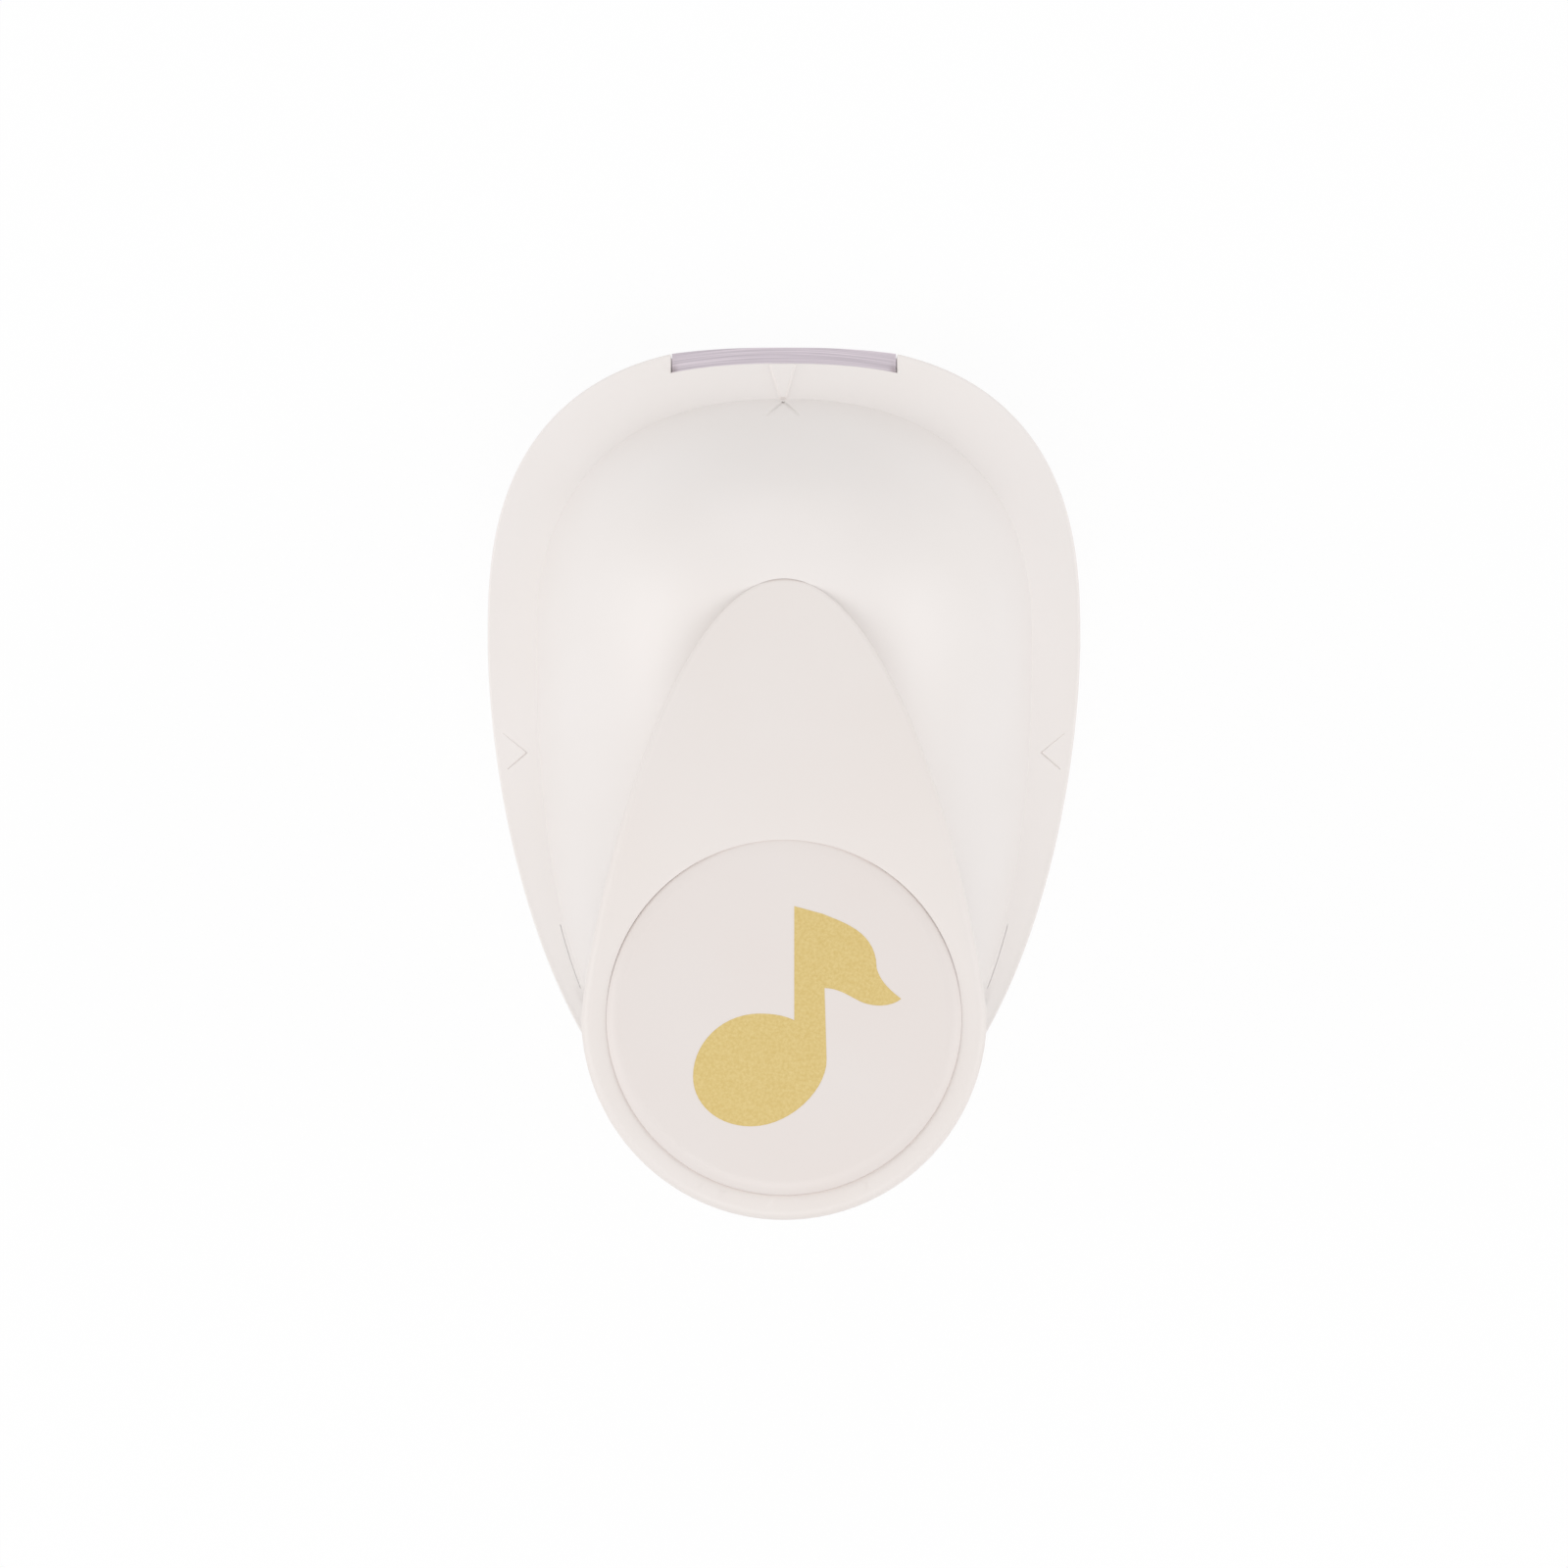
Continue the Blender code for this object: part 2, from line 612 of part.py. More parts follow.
def make_base_tray(parts, cutters, plastic):
    """White plastic base, hollow below, with the window that the chips fall through."""
    rings = [
        raised(body_outline(FOOT_ROUNDING), 0.0),
        raised(body_outline(FOOT_ROUNDING * ROUND_MIDDLE_SHARE), FOOT_ROUNDING * ROUND_MIDDLE_SHARE),
        raised(body_outline(), FOOT_ROUNDING),
        raised(body_outline(), BASE_TOP_Z),
    ]
    tray = loft("base_tray", rings, parts)
    hollow = loft("base hollow", [raised(body_outline(BASE_WALL), -OVERRUN),
                                  raised(body_outline(BASE_WALL), DECK_UNDER_Z)], cutters)
    for number, y in enumerate(RIB_YS):
        cut(hollow, block(f"cross rib {number + 1}",
                          (-BODY_HALF_WIDTH, y - RIB_HALF_THICKNESS, RIB_FOOT_Z),
                          (BODY_HALF_WIDTH, y + RIB_HALF_THICKNESS, BASE_HEIGHT), cutters))
    for side in (-1, 1):
        middle = side * RIB_X
        cut(hollow, block(f"long rib {side}",
                          (middle - RIB_HALF_THICKNESS, RIB_YS[1], RIB_FOOT_Z),
                          (middle + RIB_HALF_THICKNESS, RIB_YS[0], BASE_HEIGHT), cutters))
    for number, place in enumerate(HOUSING_SCREW_PLACES):
        cut(hollow, cylinder(f"base boss {number + 1}", BASE_BOSS_RADIUS, RIB_FOOT_Z, BASE_HEIGHT,
                             cutters, place))
    cut(tray, hollow)
    cut(tray, block("paper table cut", (-2 * BODY_HALF_WIDTH, THROAT_END_Y, BASE_HEIGHT),
                    (2 * BODY_HALF_WIDTH, 2 * BODY_FRONT_REACH, BASE_TOP_Z + OVERRUN), cutters))
    cut(tray, flat_solid("die seat", [die_outline(SEAT_GAP)], DIE_Z - SEAT_GAP,
                         BASE_TOP_Z + OVERRUN, cutters))
    cut(tray, block("chip window",
                    (-CHIP_WINDOW_HALF_WIDTH, PRESS_Y - CHIP_WINDOW_HALF_LENGTH, DECK_UNDER_Z - OVERRUN),
                    (CHIP_WINDOW_HALF_WIDTH, PRESS_Y + CHIP_WINDOW_HALF_LENGTH, BASE_HEIGHT), cutters))
    for number, place in enumerate(HOUSING_SCREW_PLACES):
        cut(tray, cylinder(f"screw hole {number + 1}", HOUSING_SCREW_RADIUS + SEAT_GAP, -OVERRUN,
                           BASE_TOP_Z + OVERRUN, cutters, place))
        cut(tray, cylinder(f"head recess {number + 1}", HOUSING_SCREW_HEAD_RADIUS + SEAT_GAP, -OVERRUN,
                           HEAD_RECESS_HEIGHT, cutters, place))
    tray.data.materials.append(plastic)
    return tray


def dome_rings(inset, foot_z, height, shares):
    """Rings that rise from the dome's foot to its top."""
    rings = []
    for share in shares:
        rise = height * (1 - share ** DOME_POWER)
        rings.append(raised(dome_outline(inset, share), foot_z + rise))
    return rings


def make_upper_housing(parts, cutters, plastic):
    """Flange and dome in one moulding, open below and where the lever comes out."""
    outer_shares = (1.0, 0.96, 0.9, 0.83, 0.75, 0.66, 0.56, 0.45, 0.33, 0.2, 0.08)
    inner_shares = (1.0, 0.93, 0.84, 0.73, 0.6, 0.45, 0.28, 0.1)
    rings = [
        raised(body_outline(UNDER_EDGE_ROUNDING), SLOT_TOP_Z),
        raised(body_outline(), SLOT_TOP_Z + UNDER_EDGE_ROUNDING),
        raised(body_outline(), FLANGE_TOP_Z - EDGE_ROUNDING),
        raised(body_outline(EDGE_ROUNDING * ROUND_MIDDLE_SHARE),
               FLANGE_TOP_Z - EDGE_ROUNDING * ROUND_MIDDLE_SHARE),
        raised(body_outline(EDGE_ROUNDING), FLANGE_TOP_Z),
    ] + dome_rings(0.0, CREASE_Z, DOME_HEIGHT, outer_shares)
    housing = loft("upper_housing", rings, parts)

    inner_height = DOME_HEIGHT - DOME_WALL
    hollow = loft("dome hollow", [raised(dome_outline(DOME_WALL), WELL_FLOOR_Z)]
                  + dome_rings(DOME_WALL, CREASE_Z, inner_height, inner_shares), cutters)
    wall_rear_y = FRAME_STEP_Y - SEAT_GAP
    cut(hollow, block("rear of the hollow", (-BODY_HALF_WIDTH, -BODY_REAR_REACH, 0.0),
                      (BODY_HALF_WIDTH, wall_rear_y, LEVER_TIP_Z + DOME_HEIGHT), cutters))
    cut(housing, hollow)
    cut(housing, flat_solid("frame seat", [frame_outline(SEAT_GAP)], SLOT_TOP_Z - OVERRUN,
                            WELL_FLOOR_Z + OVERRUN, cutters))
    cut(housing, flat_solid("frame foot seat", [foot_outline(SEAT_GAP)], SLOT_TOP_Z - OVERRUN,
                            FOOT_TOP_Z + SEAT_GAP, cutters))

    above = PAD_CENTRE_Z + DOME_HEIGHT
    opening = lever_outline(-RUNNING_GAP)
    well = flat_solid("lever well", [opening], WELL_FLOOR_Z, above, cutters)
    cut(well, block("wall that stays", (-BODY_HALF_WIDTH, wall_rear_y - DOME_WALL, 0.0),
                    (BODY_HALF_WIDTH, BODY_HALF_WIDTH, WALL_TOP_Z), cutters))
    cut(housing, well)

    cut_front_notch_and_marks(housing, cutters)
    for number, place in enumerate(HOUSING_SCREW_PLACES):
        cut(housing, cylinder(f"housing screw hole {number + 1}", HOUSING_SCREW_RADIUS + SEAT_GAP,
                              SLOT_TOP_Z - OVERRUN, SLOT_TOP_Z + HOUSING_SCREW_BITE + SEAT_GAP,
                              cutters, place))
    housing.data.materials.append(plastic)
    return housing


def cut_front_notch_and_marks(housing, cutters):
    """The notch that shows the die plate, three marks for lining up, and two relief slits."""
    steps = 6
    arch = []
    for step in range(steps + 1):
        across = 2 * step / steps - 1
        arch.append((NOTCH_HALF_WIDTH * across, NOTCH_SIDE_Y + NOTCH_CROWN * (1 - across ** 2)))
    reach = BODY_WIDEST_Y + BODY_FRONT_REACH + OVERRUN
    notch = arch + [(NOTCH_HALF_WIDTH, reach), (-NOTCH_HALF_WIDTH, reach)]
    cut(housing, flat_solid("front notch", [notch], SLOT_TOP_Z - OVERRUN, CREASE_Z, cutters))

    mark_floor = CREASE_Z - MARK_DEPTH
    foot_y = BODY_WIDEST_Y + CREASE_FRONT_REACH
    front_mark = [(-MARK_HALF_WIDTH, NOTCH_SIDE_Y + 2 * NOTCH_CROWN), (-MARK_APEX_HALF_WIDTH, foot_y),
                  (MARK_APEX_HALF_WIDTH, foot_y), (MARK_HALF_WIDTH, NOTCH_SIDE_Y + 2 * NOTCH_CROWN)]
    cut(housing, flat_solid("front mark", [front_mark], mark_floor, CREASE_Z + OVERRUN, cutters))
    niche = [(0.0, foot_y + SEAT_GAP), (-MARK_HALF_WIDTH, foot_y - MARK_NICHE_DEPTH),
             (MARK_HALF_WIDTH, foot_y - MARK_NICHE_DEPTH)]
    cut(housing, flat_solid("front mark niche", [niche], CREASE_Z - MARK_DEPTH / 2,
                            CREASE_Z + MARK_NICHE_DEPTH, cutters))
    for side in (-1, 1):
        apex = side * SIDE_MARK_APEX_X
        end = side * (SIDE_MARK_APEX_X + SIDE_MARK_LENGTH)
        mark = [(apex, PRESS_Y), (end, PRESS_Y + MARK_HALF_WIDTH), (end, PRESS_Y - MARK_HALF_WIDTH)]
        cut(housing, flat_solid(f"side mark {side}", [mark], mark_floor, CREASE_Z + OVERRUN, cutters))
        inner = []
        outer = []
        for step in range(steps + 1):
            y = SLIT_FRONT_Y + (SLIT_REAR_Y - SLIT_FRONT_Y) * step / steps
            inner.append((side * (crease_x(y) - SLIT_WIDTH / 2), y))
            outer.append((side * (crease_x(y) + SLIT_WIDTH / 2), y))
        cut(housing, flat_solid(f"relief slit {side}", [inner + outer[::-1]], FLANGE_TOP_Z - SLIT_DEPTH,
                                CREASE_Z + 2 * OVERRUN, cutters))


# The punch unit

def make_die_plate(parts, steel):
    """Steel plate with the note-shaped hole; its tongue shows in the front notch."""
    outlines = [die_outline(), note_outline(punch_centre(), DIE_CLEARANCE)] + rivet_holes()
    plate = flat_solid("die_plate", outlines, DIE_Z, BASE_HEIGHT, parts)
    plate.data.materials.append(steel)
    return plate


def rivet_places():
    return [(side * x, RIVET_Y) for side in (-1, 1) for x in RIVET_XS]


def rivet_holes():
    return [hole(place, RIVET_RADIUS + SEAT_GAP) for place in rivet_places()]


def make_guide_frame(parts, cutters, casting):
    """Die-cast frame: guides the cutter, holds the springs and carries the pivot ears."""
    frame = flat_solid("guide_frame", [frame_outline()], SLOT_TOP_Z, FRAME_TOP_Z, parts)
    join(frame, flat_solid("frame foot", [foot_outline()], SLOT_TOP_Z, FOOT_TOP_Z, cutters))
    for side in (-1, 1):
        low, high = sorted((side * EAR_INNER_X, side * EAR_OUTER_X))
        ear = [(PIVOT_Y - EAR_RADIUS, FRAME_TOP_Z - OVERRUN), (PIVOT_Y + EAR_RADIUS, FRAME_TOP_Z - OVERRUN)]
        ear += arc((PIVOT_Y, PIVOT_Z), EAR_RADIUS, 0.0, math.pi, 10)
        bore = arc((PIVOT_Y, PIVOT_Z), PIN_RADIUS + SEAT_GAP, 0.0, 2 * math.pi, SMALL_ROUND_STEPS)[:-1]
        join(frame, flat_solid(f"ear {side}", [ear, bore], low, high, cutters, side_view=True))
        pocket_centre = (side * SPRING_X, PRESS_Y)
        cut(frame, cylinder(f"spring pocket {side}", SPRING_POCKET_RADIUS, POCKET_FLOOR_Z,
                            FRAME_TOP_Z + OVERRUN, cutters, pocket_centre))
        cut(frame, cylinder(f"post hole {side}", POST_RADIUS + SEAT_GAP, SLOT_TOP_Z + SEAT_GAP,
                            FRAME_TOP_Z, cutters, pocket_centre))
    cut(frame, flat_solid("cutter guide", [note_outline(punch_centre(), DIE_CLEARANCE)],
                          SLOT_TOP_Z - OVERRUN, FRAME_TOP_Z + OVERRUN, cutters))
    for number, place in enumerate(rivet_places()):
        cut(frame, cylinder(f"frame rivet hole {number + 1}", RIVET_RADIUS + SEAT_GAP,
                            SLOT_TOP_Z - OVERRUN, FOOT_TOP_Z + OVERRUN, cutters, place))
    frame.data.materials.append(casting)
    return frame


def make_gap_spacer(parts, steel):
    """Strip that holds the guide frame one paper gap above the die plate."""
    outline = rounded_box((-DIE_HALF_WIDTH, DIE_REAR_Y), (DIE_HALF_WIDTH, THROAT_END_Y), FRAME_CORNER / 3)
    spacer = flat_solid("gap_spacer", [outline] + rivet_holes(), BASE_HEIGHT + SEAT_GAP,
                        SLOT_TOP_Z - SEAT_GAP, parts)
    spacer.data.materials.append(steel)
    return spacer


def make_rivets(parts, steel):
    """Four rivets, flush at both ends."""
    flat = RIVET_RADIUS - RIVET_CHAMFER
    for number, place in enumerate(rivet_places()):
        profile = [(0.0, FOOT_TOP_Z), (flat, FOOT_TOP_Z),
                   (RIVET_RADIUS, FOOT_TOP_Z - RIVET_CHAMFER), (RIVET_RADIUS, DIE_Z + RIVET_CHAMFER),
                   (flat, DIE_Z), (0.0, DIE_Z)]
        rivet = turned(f"unit_rivet_{number + 1}", profile, parts)
        rivet.location = (*place, 0.0)
        rivet.data.materials.append(steel)


# The pivot

def make_pivot_pin(parts, steel):
    """Pin through both ears, with a groove for a clip near each end."""
    groove_near = EAR_OUTER_X + SEAT_GAP
    groove_far = groove_near + CLIP_THICKNESS + 2 * SEAT_GAP
    waist = PIN_RADIUS - CLIP_GROOVE_DEPTH
    chamfer = CLIP_GROOVE_DEPTH / 2
    half = [(0.0, PIN_HALF_LENGTH), (PIN_RADIUS - chamfer, PIN_HALF_LENGTH),
            (PIN_RADIUS, PIN_HALF_LENGTH - chamfer), (PIN_RADIUS, groove_far),
            (waist, groove_far), (waist, groove_near), (PIN_RADIUS, groove_near)]
    profile = half + [(radius, -height) for radius, height in reversed(half)]
    pin = turned("pivot_pin", profile, parts, steps=20)
    pin.rotation_euler = (0.0, math.radians(90), 0.0)
    pin.location = (0.0, PIVOT_Y, PIVOT_Z)
    pin.data.materials.append(steel)
    return pin


def make_pin_clip(name, side, parts, steel):
    """Open spring clip that snaps over the pin's groove."""
    inner = PIN_RADIUS - CLIP_GROOVE_DEPTH + SEAT_GAP
    start = CLIP_MOUTH - math.radians(90)
    end = math.radians(270) - CLIP_MOUTH
    outline = arc((PIVOT_Y, PIVOT_Z), CLIP_RADIUS, start, end, 16)
    outline += arc((PIVOT_Y, PIVOT_Z), inner, end, start, 12)
    near = EAR_OUTER_X + 2 * SEAT_GAP
    low, high = sorted((side * near, side * (near + CLIP_THICKNESS)))
    clip = flat_solid(name, [outline], low, high, parts, side_view=True)
    clip.data.materials.append(steel)
    return clip


# The lever

def arm_top_z():
    """The height of the arm's web, a headroom below the cover's ceiling."""
    return lever_top_z(ARM_TOP_FRONT_Y) - LEVER_TOP_WALL - ARM_HEADROOM


def arm_top_line():
    """The upper line of the arm's channel, from the tail to the pivot end."""
    bend_z = PIVOT_Z + ARM_BEND_RISE
    return [(ARM_REAR_Y, arm_top_z()), (ARM_TOP_FRONT_Y, arm_top_z()), (ARM_BEND_Y, bend_z)]


def make_lever_arm(parts, cutters, steel):
    """Pressed channel: two cheeks and a web, bored for the pin and the roller's axle."""
    dip = math.asin((PIVOT_Z - PRESS_Z + ARM_FOOT_RADIUS) / ARM_PIVOT_RADIUS)
    profile = arm_top_line()[::-1]
    profile += [(ARM_REAR_Y, arm_top_z() - ARM_REAR_DEPTH), (ARM_HAUNCH_Y, PIVOT_Z + ARM_HAUNCH_RISE)]
    profile += arc((PRESS_Y, PRESS_Z), ARM_FOOT_RADIUS, math.radians(205), math.radians(270), 5)
    profile += arc((PIVOT_Y, PIVOT_Z), ARM_PIVOT_RADIUS, math.pi + dip, 2 * math.pi + math.radians(95), 14)
    arm = flat_solid("lever_arm", [profile], -ARM_HALF_WIDTH, ARM_HALF_WIDTH, parts, side_view=True)
    lowered = [(y, z - ARM_SHEET) for y, z in arm_top_line()]
    lowered[0] = (ARM_REAR_Y - OVERRUN, lowered[0][1])
    crown = PIVOT_Z + ARM_PIVOT_RADIUS - ARM_SHEET
    front = PIVOT_Y + ARM_PIVOT_RADIUS + OVERRUN
    low = PIVOT_Z - ARM_PIVOT_RADIUS - OVERRUN
    channel = lowered + [(PIVOT_Y, crown), (front, crown), (front, low), (ARM_REAR_Y - OVERRUN, low)]
    inner = ARM_HALF_WIDTH - ARM_SHEET
    cut(arm, flat_solid("channel", [channel], -inner, inner, cutters, side_view=True))
    cut(arm, cylinder("arm bore", PIN_RADIUS + SEAT_GAP, -ARM_HALF_WIDTH - OVERRUN,
                      ARM_HALF_WIDTH + OVERRUN, cutters, (PIVOT_Y, PIVOT_Z), along_x=True))
    cut(arm, cylinder("axle bore", AXLE_RADIUS + SEAT_GAP, -ARM_HALF_WIDTH - OVERRUN,
                      ARM_HALF_WIDTH + OVERRUN, cutters, (PRESS_Y, PRESS_Z), along_x=True))
    for number, y in enumerate((BOSS_FRONT_Y, BOSS_REAR_Y)):
        cut(arm, cylinder(f"arm screw hole {number + 1}", LEVER_SCREW_RADIUS + SEAT_GAP,
                          arm_top_z() - 2 * ARM_SHEET, arm_top_z() + OVERRUN, cutters, (0.0, y)))
    arm.data.materials.append(steel)
    return arm


def make_press_roller(parts, cutters, steel):
    """Roller that presses on the punch plate, on its own axle between the cheeks."""
    inner = ARM_HALF_WIDTH - ARM_SHEET - RUNNING_GAP
    centre = (PRESS_Y, PRESS_Z)
    roller = cylinder("press_roller", ROLLER_RADIUS, -inner, inner, parts, centre, along_x=True)
    cut(roller, cylinder("roller bore", AXLE_RADIUS + SEAT_GAP, -ARM_HALF_WIDTH, ARM_HALF_WIDTH,
                         cutters, centre, along_x=True))
    axle = cylinder("roller_axle", AXLE_RADIUS, -ARM_HALF_WIDTH, ARM_HALF_WIDTH, parts, centre,
                    along_x=True)
    roller.data.materials.append(steel)
    axle.data.materials.append(steel)
    return roller, axle


def make_lever_cover(parts, cutters, plastic):
    """Plastic lever with deep skirts, a round seat for the disc and two bosses for the arm."""
    def top_ring(inset, drop):
        return [(x, y, lever_top_z(y) - drop) for x, y in lever_outline(inset)]

    rounding = LEVER_EDGE_ROUNDING
    rings = [[(x, y, skirt_z(y)) for x, y in lever_outline(LEVER_DRAFT)]]
    rings.append(top_ring(0.0, rounding))
    for angle in (30, 60, 90):
        turn = math.radians(angle)
        rings.append(top_ring(rounding * (1 - math.cos(turn)), rounding * (1 - math.sin(turn))))
    cover = loft("lever_cover", rings, parts)

    wall = LEVER_SIDE_WALL
    hollow_rings = [[(x, y, skirt_z(y) - OVERRUN) for x, y in lever_outline(wall + LEVER_DRAFT)]]
    hollow_rings.append(top_ring(wall, LEVER_TOP_WALL + rounding / 2))
    hollow_rings.append(top_ring(wall + rounding / 2, LEVER_TOP_WALL))
    hollow = loft("cover hollow", hollow_rings, cutters)
    for number, y in enumerate((BOSS_FRONT_Y, BOSS_REAR_Y)):
        boss = cylinder(f"cover boss {number + 1}", BOSS_RADIUS, arm_top_z() + SEAT_GAP,
                        PAD_CENTRE_Z, cutters, (0.0, y))
        cut(hollow, boss)
    cut(cover, hollow)

    seat = cylinder("disc seat", PAD_RADIUS + SEAT_GAP, 0.0, 4 * PAD_THICKNESS, cutters)
    seat.location = disc_place(-PAD_THICKNESS - SEAT_GAP)
    seat.rotation_euler = (-PAD_TILT, 0.0, 0.0)
    cut(cover, seat)
    for number, y in enumerate((BOSS_FRONT_Y, BOSS_REAR_Y)):
        cut(cover, cylinder(f"boss hole {number + 1}", LEVER_SCREW_RADIUS + SEAT_GAP, arm_top_z(),
                            arm_top_z() + LEVER_SCREW_BITE + 2 * SEAT_GAP, cutters, (0.0, y)))
    cover.data.materials.append(plastic)
    return cover


def disc_place(above):
    """A place on the disc's axis, above or below the middle of its top face."""
    return (0.0, LEVER_TAIL_CENTRE_Y + above * math.sin(PAD_TILT),
            PAD_CENTRE_Z + above * math.cos(PAD_TILT))


def make_pad_disc(parts, plastic):
    """Thumb disc with a round edge, set into the lever's tail on a slant."""
    edge = PAD_EDGE_ROUNDING
    profile = [(0.0, 0.0), (PAD_RADIUS * PAD_FLAT_SHARE, 0.0)]
    for angle in (0, 30, 60, 90):
        turn = math.radians(angle)
        profile.append((PAD_RADIUS - edge * (1 - math.sin(turn)), -edge * (1 - math.cos(turn))))
    profile += [(PAD_RADIUS, -PAD_THICKNESS), (0.0, -PAD_THICKNESS)]
    disc = turned("pad_disc", profile, parts, steps=PAD_STEPS)
    disc.location = disc_place(0.0)
    disc.rotation_euler = (-PAD_TILT, 0.0, 0.0)
    disc.data.materials.append(plastic)
    return disc


# Punch, springs and screws

def plate_outline():
    """The punch plate: a block over the note with a wing over each spring."""
    centre_y = PRESS_Y
    end = NOTE_HEIGHT / 2 + PLATE_END_MARGIN
    wing = PLATE_WING_HALF_LENGTH
    corner = PLATE_CORNER
    quarter = math.radians(90)
    points = arc((PLATE_HALF_WIDTH - corner, centre_y + end - corner), corner, quarter, 0.0, 3)
    points.append((PLATE_HALF_WIDTH, centre_y + wing + PLATE_WING_ROOT))
    points += arc((PLATE_WING_HALF_WIDTH - 2 * corner, centre_y + wing - 2 * corner), 2 * corner,
                  quarter, 0.0, 3)
    upper_right = points
    lower_right = [(x, 2 * centre_y - y) for x, y in reversed(upper_right)]
    right = upper_right + lower_right
    left = [(-x, y) for x, y in reversed(right)]
    return right + left


def punch_screw_places():
    return [(x, PRESS_Y - PUNCH_SCREW_DROP) for x in PUNCH_SCREW_XS]


def make_punch_plate(parts, cutters, steel):
    """Plate that the roller presses, with holes for the posts and the cutter's screws."""
    outlines = [plate_outline()]
    outlines += [hole((side * SPRING_X, PRESS_Y), POST_RADIUS + SEAT_GAP) for side in (-1, 1)]
    outlines += [hole(place, PUNCH_SCREW_RADIUS + SEAT_GAP) for place in punch_screw_places()]
    plate = flat_solid("punch_plate", outlines, PLATE_UNDER_Z, PLATE_TOP_Z, parts)
    for number, place in enumerate(punch_screw_places()):
        cut(plate, cylinder(f"plate head recess {number + 1}", PUNCH_SCREW_HEAD_RADIUS + SEAT_GAP,
                            PLATE_TOP_Z - PUNCH_SCREW_HEAD_HEIGHT - SEAT_GAP, PLATE_TOP_Z + OVERRUN,
                            cutters, place))
    plate.data.materials.append(steel)
    return plate


def make_note_cutter(parts, cutters, steel):
    """The note-shaped cutter, tapped for two screws in its head."""
    cutter = flat_solid("note_cutter", [note_outline(punch_centre())], CUTTER_Z,
                        PLATE_UNDER_Z - SEAT_GAP, parts)
    for number, place in enumerate(punch_screw_places()):
        cut(cutter, cylinder(f"cutter screw hole {number + 1}", PUNCH_SCREW_RADIUS + SEAT_GAP,
                             PLATE_UNDER_Z - PUNCH_SCREW_BITE - SEAT_GAP, PLATE_TOP_Z, cutters, place))
    cutter.data.materials.append(steel)
    return cutter


def make_screw(name, place, head_outer_z, direction, sizes, parts, steel):
    """A pan-head screw; direction is 1 when it points up and -1 when it points down."""
    radius, head_radius, head_height, length = sizes
    flat, dome = SCREW_HEAD_ROUND_SHARES
    point = radius * SCREW_POINT_SHARE
    profile = [(0.0, length), (point, length), (radius, length - point), (radius, head_height),
               (head_radius, head_height), (head_radius, head_height * dome),
               (head_radius * flat, 0.0), (0.0, 0.0)]
    screw = turned(name, profile, parts)
    if direction < 0:
        screw.rotation_euler = (math.pi, 0.0, 0.0)
    screw.location = (*place, head_outer_z)
    screw.data.materials.append(steel)
    return screw


def make_screws(parts, steel, lever_joint, punch_joint):
    """Housing screws from below, cover screws inside the arm, and cutter screws from above."""
    head_z = HEAD_RECESS_HEIGHT - SEAT_GAP - HOUSING_SCREW_HEAD_HEIGHT
    sizes = (HOUSING_SCREW_RADIUS, HOUSING_SCREW_HEAD_RADIUS, HOUSING_SCREW_HEAD_HEIGHT,
             SLOT_TOP_Z + HOUSING_SCREW_BITE - head_z)
    for number, place in enumerate(HOUSING_SCREW_PLACES):
        make_screw(f"housing_screw_{number + 1}", place, head_z, 1, sizes, parts, steel)
    head_z = arm_top_z() - ARM_SHEET - SEAT_GAP - LEVER_SCREW_HEAD_HEIGHT
    sizes = (LEVER_SCREW_RADIUS, LEVER_SCREW_HEAD_RADIUS, LEVER_SCREW_HEAD_HEIGHT,
             arm_top_z() + LEVER_SCREW_BITE - head_z)
    for number, y in enumerate((BOSS_FRONT_Y, BOSS_REAR_Y)):
        carry(make_screw(f"lever_screw_{number + 1}", (0.0, y), head_z, 1, sizes, parts, steel),
              lever_joint)
    sizes = (PUNCH_SCREW_RADIUS, PUNCH_SCREW_HEAD_RADIUS, PUNCH_SCREW_HEAD_HEIGHT,
             PLATE_THICKNESS + PUNCH_SCREW_BITE)
    for number, place in enumerate(punch_screw_places()):
        carry(make_screw(f"punch_screw_{number + 1}", place, PLATE_TOP_Z, -1, sizes, parts, steel),
              punch_joint)


def make_spring_post(name, side, parts, steel):
    """Round post, pressed into the frame, that guides the punch plate."""
    top = PLATE_TOP_Z - POST_TOP_MARGIN
    low = SLOT_TOP_Z + 2 * SEAT_GAP
    profile = [(0.0, top), (POST_RADIUS - POST_CHAMFER, top), (POST_RADIUS, top - POST_CHAMFER),
               (POST_RADIUS, low), (0.0, low)]
    post = turned(name, profile, parts, steps=12)
    post.location = (side * SPRING_X, PRESS_Y, 0.0)
    post.data.materials.append(steel)
    return post


